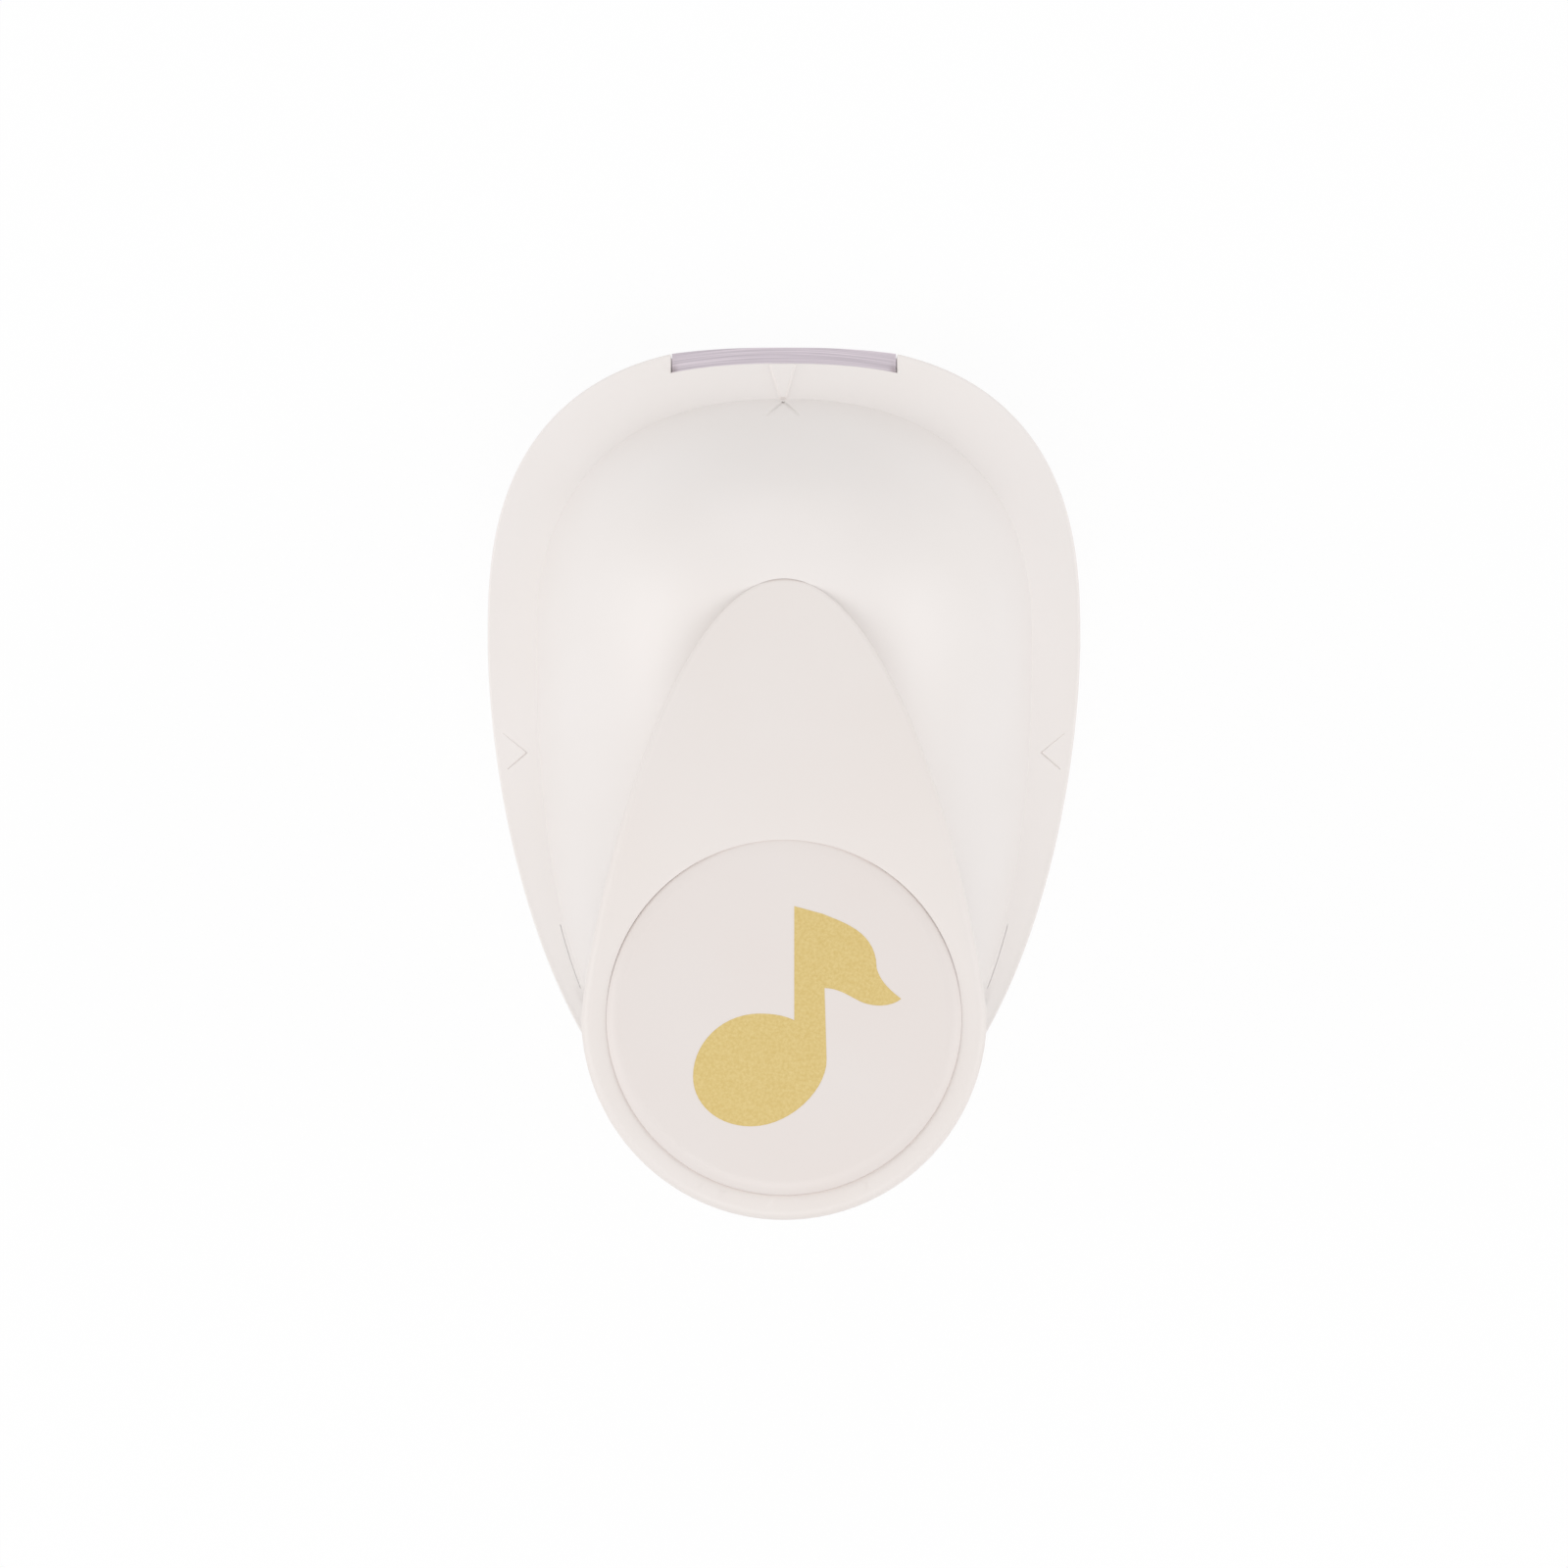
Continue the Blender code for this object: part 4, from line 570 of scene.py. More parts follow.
def make_guide_frame():
    casting = flat_piece("guide_frame_casting", frame_outline(), frame_low.z, FRAME_TOP_Z)
    added = [flat_piece("foot", foot_outline(), frame_low.z, FRAME_FOOT_TOP_Z)]
    tools = []
    for side in (-1, 1):
        low, high = sorted((side * EAR_INNER_X, side * EAR_OUTER_X))
        ear = [(pivot.y - EAR_RADIUS, FRAME_TOP_Z - OVERRUN), (pivot.y + EAR_RADIUS, FRAME_TOP_Z - OVERRUN)]
        ear += arc((pivot.y, pivot.z), EAR_RADIUS, 0.0, math.pi, 24)
        added.append(sideways_piece("ear", ear, low, high))
        place = middle_of("spring_post_right" if side > 0 else "spring_post_left").xy
        tools.append(bar("spring pocket", POCKET_RADIUS, POCKET_FLOOR_Z, FRAME_TOP_Z + OVERRUN, place))
        tools.append(bar("post hole", POST_RADIUS + SEAT_GAP, frame_low.z + SEAT_GAP, FRAME_TOP_Z, place))
        for y in (FRAME_STEP_Y + FRAME_CORNER, frame_high.y - FRAME_CORNER):
            tools.append(bar("ejector dent", EJECTOR_DENT_RADIUS, FRAME_TOP_Z - EJECTOR_DENT_DEPTH,
                             FRAME_TOP_Z + OVERRUN, (place.x, y)))
    combine(casting, added, "UNION")
    tools.append(bar("pin bore", PIN_RADIUS + SEAT_GAP, -frame_high.x, frame_high.x, (pivot.y, pivot.z),
                     along_x=True))
    tools.append(flat_piece("cutter guide", clearance_outline(), frame_low.z - OVERRUN,
                            FRAME_TOP_Z + OVERRUN))
    tools += holes("rivet hole", RIVET_HOLE_RADIUS, frame_low.z, FRAME_FOOT_TOP_Z, rivet_places)
    combine(casting, tools)
    soften(casting, CAST_EDGE_ROUNDING, angle=50)
    return fit_out(casting, "body", zinc_casting, "zinc_casting", "guide_frame")


make_gap_spacer()
make_guide_frame()


# Unit rivets: mild steel, zinc plated, with chamfered ends. Their holes go through all three pieces.

RIVET_CHAMFER = 0.0003

# Bright zinc plate with a blue passivation: smooth and cool, with faint clouds from the bath.
zinc_plate = metal("bright zinc plate", "B4B8BE", "C8CBD0", 0.28, (0.0022, 0.0022, 0.0022), 0.000004)


def turned(name, profile, place=(0.0, 0.0), sides=48):
    """A turned piece: pairs of radius and height, one circle each, round an upright axis."""
    turns = [2 * math.pi * (step + 0.5) / sides for step in range(sides)]
    rings = [[(radius * math.cos(turn), radius * math.sin(turn), height) for turn in turns]
             for radius, height in profile]
    piece = loft(name, rings)
    piece.data.transform(Matrix.Translation((place[0], place[1], 0.0)))
    return piece


def turned_across(name, half, middle, sides=48, tools=()):
    """A turned piece that lies across the punch, given by its right half from the end inwards."""
    piece = turned(name, half + [(radius, -x) for radius, x in reversed(half)], sides=sides)
    combine(piece, tools)
    piece.data.transform(Matrix.Translation(middle) @ Matrix.Rotation(math.radians(90), 4, "Y"))
    return piece


for number, rivet_place in enumerate(rivet_places, 1):
    rivet_low, rivet_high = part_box(f"unit_rivet_{number}")
    flat = RIVET_RADIUS - RIVET_CHAMFER
    rivet = turned(f"rivet_{number}", [
        (flat / 3, rivet_low.z + RIVET_CHAMFER / 4), (flat / 2, rivet_low.z), (flat, rivet_low.z),
        (RIVET_RADIUS, rivet_low.z + RIVET_CHAMFER), (RIVET_RADIUS, rivet_high.z - RIVET_CHAMFER),
        (flat, rivet_high.z), (flat / 2, rivet_high.z), (flat / 3, rivet_high.z - RIVET_CHAMFER / 4),
    ], rivet_place)
    fit_out(rivet, "body", zinc_plate, "plated_steel", f"unit_rivet_{number}")


# Spring posts and return springs: ground pins pressed into the frame, each with a coil of music wire
# round it that lifts the punch plate. The end turns of the coil are closed.

POST_CHAMFER = 0.0004
SPRING_RADIUS = 0.0021
SPRING_WIRE_RADIUS = 0.0004
SPRING_TURNS = 5.5
SPRING_CLOSED_TURNS = 0.75
SPRING_STEPS = 32
WIRE_SIDES = 12

# Hardened steel, ground and oiled: dark and glossy, with fine rings left by the wheel.
oiled_steel = metal("oiled hardened steel", "77787D", "97989D", 0.24, (0.004, 0.004, 0.00015), 0.000003)
# Music wire: drawn through a die and left with a dull grey phosphate film.
music_wire = metal("drawn music wire", "6F7176", "8B8D93", 0.36, (0.0006, 0.0006, 0.0002), 0.000005)


def make_spring_post(name, low, high):
    crown = POST_CHAMFER * 0.35
    post = turned(f"{name}_pin", [
        (POST_RADIUS - POST_CHAMFER, low.z), (POST_RADIUS, low.z + POST_CHAMFER),
        (POST_RADIUS, high.z - POST_CHAMFER), (POST_RADIUS - crown, high.z - crown),
        (POST_RADIUS - POST_CHAMFER, high.z),
    ], (low + high) / 2)
    return fit_out(post, "body", oiled_steel, "hardened_steel", name)


def coil_height(share, low, high):
    """The height of the coil's wire: closed turns at both ends and an even rise between them."""
    closed = 2 * SPRING_WIRE_RADIUS * SPRING_CLOSED_TURNS
    turns = share * SPRING_TURNS
    if turns < SPRING_CLOSED_TURNS:
        return low + closed * turns / SPRING_CLOSED_TURNS
    if turns > SPRING_TURNS - SPRING_CLOSED_TURNS:
        return high - closed * (SPRING_TURNS - turns) / SPRING_CLOSED_TURNS
    middle = (turns - SPRING_CLOSED_TURNS) / (SPRING_TURNS - 2 * SPRING_CLOSED_TURNS)
    return low + closed + (high - low - 2 * closed) * middle


def make_return_spring(name, low, high):
    centre = (low + high) / 2
    wire_low = low.z + SPRING_WIRE_RADIUS
    wire_high = high.z - SPRING_WIRE_RADIUS
    count = round(SPRING_TURNS * SPRING_STEPS)
    rings = []
    for step in range(count + 1):
        turn = 2 * math.pi * step / SPRING_STEPS
        height = coil_height(step / count, wire_low, wire_high)
        ring = []
        for around in full_turn(WIRE_SIDES):
            reach = SPRING_RADIUS + SPRING_WIRE_RADIUS * math.cos(around)
            ring.append((centre.x + reach * math.cos(turn), centre.y + reach * math.sin(turn),
                         height + SPRING_WIRE_RADIUS * math.sin(around)))
        rings.append(ring)
    spring = loft(f"{name}_coil", rings)
    fit_out(spring, "body", music_wire, "hardened_steel", name, smooth_angle=50)
    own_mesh(spring)
    return spring


for side in ("left", "right"):
    make_spring_post(f"spring_post_{side}", *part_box(f"spring_post_{side}"))
    make_return_spring(f"return_spring_{side}", *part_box(f"return_spring_{side}"))


# Note cutter and punch plate: the cutter is a sharp-edged bar of hardened steel with the note's
# outline. Two screws with sunk pan heads hold it under a plated plate that slides on the spring posts.

plate_low, plate_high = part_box("punch_plate")
cutter_low, cutter_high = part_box("note_cutter")
PLATE_HALF_WIDTH = 0.0115
PLATE_WING_HALF_LENGTH = 0.0045
PLATE_WING_ROOT = 0.0009
PLATE_CORNER = 0.0015
SHEET_EDGE_ROUNDING = 0.00015
PUNCH_SCREW_RADIUS = 0.001
PUNCH_SCREW_HEAD_RADIUS = 0.0018
PUNCH_SCREW_HEAD_HEIGHT = 0.0011
SCREW_SIDES = 32
# Shares of the screw's radius: the pitch of its thread and how deep the thread is cut.
THREAD_PITCH_SHARE = 0.7
THREAD_DEPTH_SHARE = 0.18
THREAD_RINGS = 6
THREAD_END_SHARE = 0.55
# The side of a pan head, from its crown down, as shares of its radius and its height.
PAN_HEAD_SHARES = ((0.5, 0.0), (0.78, 0.05), (0.92, 0.22), (0.99, 0.5), (1.0, 0.7), (1.0, 1.0))
# The cross: half its length and half its width as shares of the head's radius, depth of its height.
CROSS_SHARES = (0.55, 0.13, 0.62)
punch_screw_places = places_of("punch_screw", 2)


def make_screw(name, node, body, radius, head_height, head_down=True):
    """A pan-head screw with a cross in its head and a rolled thread, in the place of a solid."""
    low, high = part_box(node)
    middle = (low + high) / 2
    head_radius = high.x - middle.x
    length = high.z - low.z
    pitch = radius * THREAD_PITCH_SHARE
    turns = full_turn(SCREW_SIDES)
    rings = [[(head_radius * across * math.cos(turn), head_radius * across * math.sin(turn), head_height * up)
              for turn in turns] for across, up in PAN_HEAD_SHARES]
    rows = round((length - head_height) / pitch * THREAD_RINGS)
    for row in range(rows + 1):
        height = head_height + (length - head_height) * row / rows
        taper = min(1.0, THREAD_END_SHARE + (length - height) / (2 * pitch))
        ring = []
        for turn in turns:
            phase = (height / pitch - turn / (2 * math.pi)) % 1
            crest = 1 - THREAD_DEPTH_SHARE * (1 - abs(2 * phase - 1))
            reach = radius * taper * crest
            ring.append((reach * math.cos(turn), reach * math.sin(turn), height))
        rings.append(ring)
    screw = loft(name, rings)
    half_length = head_radius * CROSS_SHARES[0]
    half_width = head_radius * CROSS_SHARES[1]
    depth = head_height * CROSS_SHARES[2]
    for wide, narrow in ((half_length, half_width), (half_width, half_length)):
        corners = ((1, 1), (-1, 1), (-1, -1), (1, -1))
        top = [(x * wide, y * narrow, -OVERRUN) for x, y in corners]
        bottom = [(x * min(wide, half_length * 0.5), y * min(narrow, half_length * 0.5), depth)
                  for x, y in corners]
        combine(screw, [loft("cross recess", [top, bottom])])
    if not head_down:
        screw.data.transform(Matrix.Rotation(math.pi, 4, "X"))
    screw.data.transform(Matrix.Translation((middle.x, middle.y, low.z if head_down else high.z)))
    return fit_out(screw, body, zinc_plate, "plated_steel", node)


def plate_outline():
    """The punch plate: a block over the note with a wing over each spring."""
    centre = (plate_low + plate_high) / 2
    end = plate_high.y - centre.y
    quarter = math.radians(90)
    wing_corner = 2 * PLATE_CORNER
    wing_end = centre.y + PLATE_WING_HALF_LENGTH
    upper = arc((PLATE_HALF_WIDTH - PLATE_CORNER, centre.y + end - PLATE_CORNER), PLATE_CORNER, quarter, 0, 6)
    upper.append((PLATE_HALF_WIDTH, wing_end + PLATE_WING_ROOT))
    upper += arc((plate_high.x - wing_corner, wing_end - wing_corner), wing_corner, quarter, 0, 8)
    right = upper + [(x, 2 * centre.y - y) for x, y in reversed(upper)]
    return right + [(-x, y) for x, y in reversed(right)]


def make_punch_plate():
    plate = flat_piece("punch_plate_pressing", plate_outline(), plate_low.z, plate_high.z)
    post_places = [middle_of(f"spring_post_{side}").xy for side in ("left", "right")]
    tools = holes("post hole", POST_RADIUS + SEAT_GAP, plate_low.z, plate_high.z, post_places)
    seat_z = plate_high.z - PUNCH_SCREW_HEAD_HEIGHT - SEAT_GAP
    for place in punch_screw_places:
        tools += holes("screw hole", PUNCH_SCREW_RADIUS + SEAT_GAP, plate_low.z, plate_high.z, [place])
        tools.append(bar("head recess", PUNCH_SCREW_HEAD_RADIUS + SEAT_GAP, seat_z, plate_high.z + OVERRUN,
                         place))
    combine(plate, tools)
    soften(plate, SHEET_EDGE_ROUNDING, angle=50)
    return fit_out(plate, "punch", zinc_plate, "plated_steel", "punch_plate")


def make_note_cutter():
    outline = note_outline(punch_centre, NOTE_HEIGHT)
    cutter = flat_piece("note_cutter_steel", outline, cutter_low.z, cutter_high.z)
    screw_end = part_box("punch_screw_1")[0].z - SEAT_GAP
    combine(cutter, [bar("tapped hole", PUNCH_SCREW_RADIUS + SEAT_GAP, screw_end, cutter_high.z + OVERRUN,
                         place) for place in punch_screw_places])
    return fit_out(cutter, "punch", oiled_steel, "hardened_steel", "note_cutter")


make_note_cutter()
make_punch_plate()
for number in (1, 2):
    make_screw(f"cutter_screw_{number}", f"punch_screw_{number}", "punch", PUNCH_SCREW_RADIUS,
               PUNCH_SCREW_HEAD_HEIGHT, head_down=False)


# Pivot pin and its clips: a plated pin through both ears and both cheeks of the arm, with a groove
# near each end. An open spring clip, stamped from strip, snaps into each groove.

clip_low, clip_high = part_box("pin_clip_right")
CLIP_GROOVE_DEPTH = 0.0006
CLIP_MOUTH = math.radians(40)
CLIP_RADIUS = clip_high.y - pivot.y


def make_pivot_pin():
    waist = PIN_RADIUS - CLIP_GROOVE_DEPTH
    chamfer = CLIP_GROOVE_DEPTH / 2
    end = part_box("pivot_pin")[1].x
    pin = turned_across("pivot_pin_turned", [
        (PIN_RADIUS - chamfer, end), (PIN_RADIUS, end - chamfer), (PIN_RADIUS, clip_high.x + SEAT_GAP),
        (waist, clip_high.x + SEAT_GAP), (waist, clip_low.x - SEAT_GAP), (PIN_RADIUS, clip_low.x - SEAT_GAP),
    ], pivot)
    return fit_out(pin, "body", zinc_plate, "plated_steel", "pivot_pin")


def make_pin_clip(name):
    inner = PIN_RADIUS - CLIP_GROOVE_DEPTH + SEAT_GAP
    start = CLIP_MOUTH - math.radians(90)
    end = math.radians(270) - CLIP_MOUTH
    outline = arc((pivot.y, pivot.z), CLIP_RADIUS, start, end, 40)
    outline += arc((pivot.y, pivot.z), inner, end, start, 28)
    low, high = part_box(name)
    clip = sideways_piece(f"{name}_stamping", outline, low.x, high.x)
    soften(clip, GROUND_EDGE_ROUNDING, segments=2, angle=50)
    return fit_out(clip, "body", zinc_plate, "plated_steel", name)


make_pivot_pin()
make_pin_clip("pin_clip_left")
make_pin_clip("pin_clip_right")


# Lever arm: a channel pressed from 2 mm steel sheet and zinc plated. Its cheeks turn on the pivot pin
# and hold the axle of a hardened roller, which pushes the punch plate down.

arm_low, arm_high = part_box("lever_arm")
roller_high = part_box("press_roller")[1]
press = middle_of("press_roller")
ARM_SHEET = 0.002
ARM_PIVOT_RADIUS = arm_high.y - pivot.y
ARM_TOP_FRONT_Y = -0.003
ARM_BEND = (0.0085, pivot.z + 0.004)
ARM_REAR_DEPTH = 0.0034
ARM_HAUNCH = (-0.0095, pivot.z + 0.0039)
ARM_FOOT_RADIUS = 0.0021
ARM_FOOT_START = math.radians(205)
ARM_CROWN_END = math.radians(95)
ARM_BEND_RADIUS = 0.0015
AXLE_RADIUS = 0.001
LEVER_SCREW_RADIUS = 0.0012
LEVER_SCREW_HEAD_HEIGHT = 0.0018
lever_screw_places = places_of("lever_screw", 2)


def round_edges(piece, chosen, width, segments=5):
    """Bevels the edges that a test picks out."""
    only(piece)
    bpy.ops.object.mode_set(mode="EDIT")
    bpy.ops.mesh.select_mode(type="EDGE")
    bpy.ops.mesh.select_all(action="DESELECT")
    bm = bmesh.from_edit_mesh(piece.data)
    for edge in bm.edges:
        edge.select_set(chosen(edge))
    bmesh.update_edit_mesh(piece.data)
    bpy.ops.mesh.bevel(offset=width, segments=segments, affect="EDGES")
    bpy.ops.mesh.select_mode(type="VERT")
    bpy.ops.object.mode_set(mode="OBJECT")
    return piece


def borders_web(edge):
    """Tells whether an edge lies between a cheek and the web on top."""
    normals = [face.normal for face in edge.link_faces]
    return any(abs(n.x) > 0.9 for n in normals) and any(n.z > 0.5 and abs(n.x) < 0.1 for n in normals)


def make_lever_arm():
    top = [(arm_low.y, arm_high.z), (ARM_TOP_FRONT_Y, arm_high.z), ARM_BEND]
    dip = math.asin((pivot.z - press.z + ARM_FOOT_RADIUS) / ARM_PIVOT_RADIUS)
    profile = top[::-1] + [(arm_low.y, arm_high.z - ARM_REAR_DEPTH), ARM_HAUNCH]
    profile += arc((press.y, press.z), ARM_FOOT_RADIUS, ARM_FOOT_START, math.radians(270), 12)
    profile += arc((pivot.y, pivot.z), ARM_PIVOT_RADIUS, math.pi + dip, 2 * math.pi + ARM_CROWN_END, 36)
    arm = sideways_piece("lever_arm_pressing", profile, arm_low.x, arm_high.x)
    round_edges(arm, borders_web, ARM_BEND_RADIUS)
    inner = arm_high.x - ARM_SHEET
    channel = [(arm_low.y - OVERRUN, arm_high.z - ARM_SHEET)] + [(y, z - ARM_SHEET) for y, z in top[1:]]
    crown = pivot.z + ARM_PIVOT_RADIUS - ARM_SHEET
    front = pivot.y + ARM_PIVOT_RADIUS + OVERRUN
    low = pivot.z - ARM_PIVOT_RADIUS - OVERRUN
    channel += [(pivot.y, crown), (front, crown), (front, low), (arm_low.y - OVERRUN, low)]
    room = sideways_piece("channel", channel, -inner, inner)
    round_edges(room, borders_web, ARM_BEND_RADIUS / 3, segments=3)
    tools = [bar("pin bore", PIN_RADIUS + SEAT_GAP, -front, front, (pivot.y, pivot.z), along_x=True),
             bar("axle bore", AXLE_RADIUS + SEAT_GAP, -front, front, (press.y, press.z), along_x=True)]
    tools += [bar("screw hole", LEVER_SCREW_RADIUS + SEAT_GAP, arm_high.z - 2 * ARM_SHEET,
                  arm_high.z + OVERRUN, place) for place in lever_screw_places]
    combine(arm, [*tools, room])
    soften(arm, SHEET_EDGE_ROUNDING, segments=2, angle=55)
    return fit_out(arm, "lever", zinc_plate, "plated_steel", "lever_arm")


def make_roller_and_axle():
    radius = roller_high.z - press.z
    chamfer = radius / 8
    bore = bar("bore", AXLE_RADIUS + SEAT_GAP / 2, -arm_high.x, arm_high.x)
    roller = turned_across("roller_turned", [
        (AXLE_RADIUS + SEAT_GAP, roller_high.x), (radius - chamfer, roller_high.x),
        (radius, roller_high.x - chamfer),
    ], press, sides=64, tools=[bore])
    fit_out(roller, "lever", oiled_steel, "hardened_steel", "press_roller")
    axle = turned_across("axle_turned", [
        (AXLE_RADIUS * 0.75, arm_high.x), (AXLE_RADIUS, arm_high.x - AXLE_RADIUS / 4),
    ], press)
    fit_out(axle, "lever", oiled_steel, "hardened_steel", "roller_axle")


make_lever_arm()
make_roller_and_axle()


# Upper housing: flange and dome in one white ABS moulding, with a round-ended opening for the lever.
# The front notch shows the steel below it, three marks help to line the paper up, and two thin
# slits at the rear let the dome's wings give.

cover_low, cover_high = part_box("lever_cover")
DOME_EGG = (0.0268, 0.0259, 0.0557, (2.35, 2.35), (2.3, 2.4))
FLANGE_THICKNESS = 0.0034
CREASE_RISE = 0.001
DOME_POWER = 3.0
DOME_WALL = 0.0022
# The dome's rings lie closest at its foot, and the last one leaves a small cap.
DOME_RINGS = 46
DOME_RING_POWER = 1.15
DOME_RING_REACH = 0.96
HOLLOW_RINGS = 17
HOLLOW_RING_STEP = 0.055
FLANGE_EDGE_ROUNDING = 0.0003
FLANGE_UNDER_ROUNDING = 0.0004
SLOT_TOP_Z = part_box("upper_housing")[0].z
FLANGE_TOP_Z = SLOT_TOP_Z + FLANGE_THICKNESS
CREASE_Z = FLANGE_TOP_Z + CREASE_RISE
DOME_TOP_Z = 0.04
DOME_HEIGHT = DOME_TOP_Z - CREASE_Z
WELL_FLOOR_Z = FLANGE_TOP_Z + SEAT_GAP
WELL_EDGE_ROUNDING = (0.0018, 0.0004)
WELL_TIP_SHARE = 0.03
WELL_GAPS = (0.00001, 0.0004)
WALL_FRONT_Y = FRAME_STEP_Y - SEAT_GAP
WALL_TOP_Z = FRAME_TOP_Z + 0.001
NOTCH_SIDE_Y = 0.0431
NOTCH_CROWN = 0.00103
NOTCH_CROWN_POWER = 2.4
NOTCH_STEPS = 16
NOTCH_EDGE_ROUNDING = (0.0001, 0.0001)
WEDGE_XS = (-0.0023, -0.0005, 0.0003, 0.0019)
WEDGE_RISE = 0.0003
WEDGE_SLANT = 0.00025
FRONT_MARK_APEX = (-0.0001, 0.0398)
FRONT_MARK_ARM = (0.0017, -0.0017)
FRONT_MARK_HALF_WIDTH = 0.0002
FRONT_MARK_DEPTHS = (0.0004, 0.00008)
SIDE_MARK_APEX = (0.0278, 0.002)
SIDE_MARK_ARMS = (((0.0021, -0.0018), 0.00008, 0.00011), ((0.0026, 0.0021), 0.00005, 0.00006))
SLIT_YS = (-0.0166, -0.0235)
SLIT_WIDTH = 0.000035
SLIT_DEPTH = 0.0012
SLIT_FROM_CREASE = 0.00045
SLIT_STEPS = 12
LEVER_TIP_Y = cover_high.y
LEVER_TAIL_RADIUS = cover_high.x
LEVER_TAIL_Y = cover_low.y + LEVER_TAIL_RADIUS
LEVER_LENGTH = LEVER_TIP_Y - LEVER_TAIL_Y
LEVER_SIDE_POWER = 1.26
LEVER_STEPS = 192


def lever_outline(inset=0.0):
    """The lever from above: a long bow that ends in a round tail."""
    half_width = LEVER_TAIL_RADIUS - inset
    points = []
    for turn in full_turn(LEVER_STEPS):
        across = math.sin(turn)
        along = math.cos(turn)
        if along > 0:
            y = LEVER_TAIL_Y + (LEVER_LENGTH - inset) * along ** (2 / LEVER_SIDE_POWER)
        else:
            y = LEVER_TAIL_Y + half_width * along
        points.append((half_width * across, y))
    return points


def egg_share(plan, x, y):
    """How large a share of an egg outline passes through a place, found by halving."""
    half_width, front, rear, front_powers, rear_powers = plan
    reach, powers = (front, front_powers) if y >= BODY_WIDEST_Y else (rear, rear_powers)
    low, high = 0.0, 2.0
    for _ in range(24):
        share = (low + high) / 2
        spread = (abs(x) / (half_width * share)) ** powers[0]
        spread += (abs(y - BODY_WIDEST_Y) / (reach * share)) ** powers[1]
        if spread > 1:
            low = share
        else:
            high = share
    return high


def housing_z(x, y):
    """The height of the housing's outside: the dome, and the flange that slopes down from its foot."""
    share = egg_share(DOME_EGG, x, y)
    if share <= 1:
        return CREASE_Z + DOME_HEIGHT * (1 - share ** DOME_POWER)
    outside = share - 1
    return CREASE_Z - CREASE_RISE * outside / (outside + max(1 - egg_share(BODY_EGG, x, y), 0.0))


def flared_cutter(name, outline, floor_z, surface_z, rounding, above_z, shares=None):
    """A cutter whose top opens in a rounding, given as its width and depth, to leave a soft edge.

    Each point of the outline may have its own share of the rounding.
    """
    wide, deep = rounding
    rings = [level(outline, floor_z)]
    for outward, drop in quarter_round(1.0):
        ring = []
        for near, far, share in zip(outline, offset_outline(outline, wide), shares or [1] * len(outline)):
            x, y = between(near, far, outward * share)
            ring.append((x, y, max(surface_z(x, y) - deep * drop * share, floor_z + SEAT_GAP)))
        rings.append(ring)
    rings.append(level([(x, y) for x, y, _ in rings[-1]], above_z))
    return loft(name, rings)


def make_housing_shell():
    """The outside of flange and dome as one loft, with a sharp crease between them."""
    rings = [level(egg(BODY_EGG, inset), SLOT_TOP_Z + drop)
             for drop, inset in quarter_round(FLANGE_UNDER_ROUNDING)]
    rings += [level(egg(BODY_EGG, inset), FLANGE_TOP_Z - drop)
              for inset, drop in quarter_round(FLANGE_EDGE_ROUNDING, 6)]
    edge = rings[-1]
    crease = level(egg(DOME_EGG), CREASE_Z)
    for share in (0.25, 0.5, 0.75):
        rings.append([between(start, end, share) for start, end in zip(edge, crease)])
    rings.append(crease)
    for step in range(1, DOME_RINGS + 1):
        share = 1 - DOME_RING_REACH * (step / DOME_RINGS) ** DOME_RING_POWER
        rings.append(level(egg(DOME_EGG, share=share), CREASE_Z + DOME_HEIGHT * (1 - share ** DOME_POWER)))
    return loft("upper_housing_shell", rings)


def make_dome_hollow():
    """The room for the mechanism, closed at the rear by a low wall."""
    inner = DOME_HEIGHT - DOME_WALL
    rings = [level(egg(DOME_EGG, DOME_WALL), WELL_FLOOR_Z)]
    for step in range(HOLLOW_RINGS):
        share = 1 - HOLLOW_RING_STEP * step
        rings.append(level(egg(DOME_EGG, DOME_WALL, share), CREASE_Z + inner * (1 - share ** DOME_POWER)))
    hollow = loft("dome hollow", rings)
    return combine(hollow, [block("rear", (-base_high.x, base_low.y, 0.0),
                                  (base_high.x, WALL_FRONT_Y, 2 * DOME_TOP_Z))])


def frame_seat_tools():
    """Cutters for the room of the guide frame, of its foot and of the housing screws."""
    start_z = SLOT_TOP_Z - OVERRUN
    tools = [flat_piece("frame seat", frame_outline(SEAT_GAP), start_z, WELL_FLOOR_Z + OVERRUN),
             flat_piece("foot seat", foot_outline(SEAT_GAP), start_z, FRAME_FOOT_TOP_Z + SEAT_GAP)]
    for number, place in enumerate(housing_screw_places, 1):
        end_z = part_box(f"housing_screw_{number}")[1].z + SEAT_GAP
        tools.append(bar("screw hole", SCREW_CLEARANCE_RADIUS, start_z, end_z, place))
    return tools


def well_outline():
    """The lever's outline with a gap that widens from its tip to its tail."""
    tight, loose = (lever_outline(-gap) for gap in WELL_GAPS)
    return [between(near, far, min((LEVER_TIP_Y - near[1]) / LEVER_LENGTH, 1.0) ** 2)
            for near, far in zip(tight, loose)]


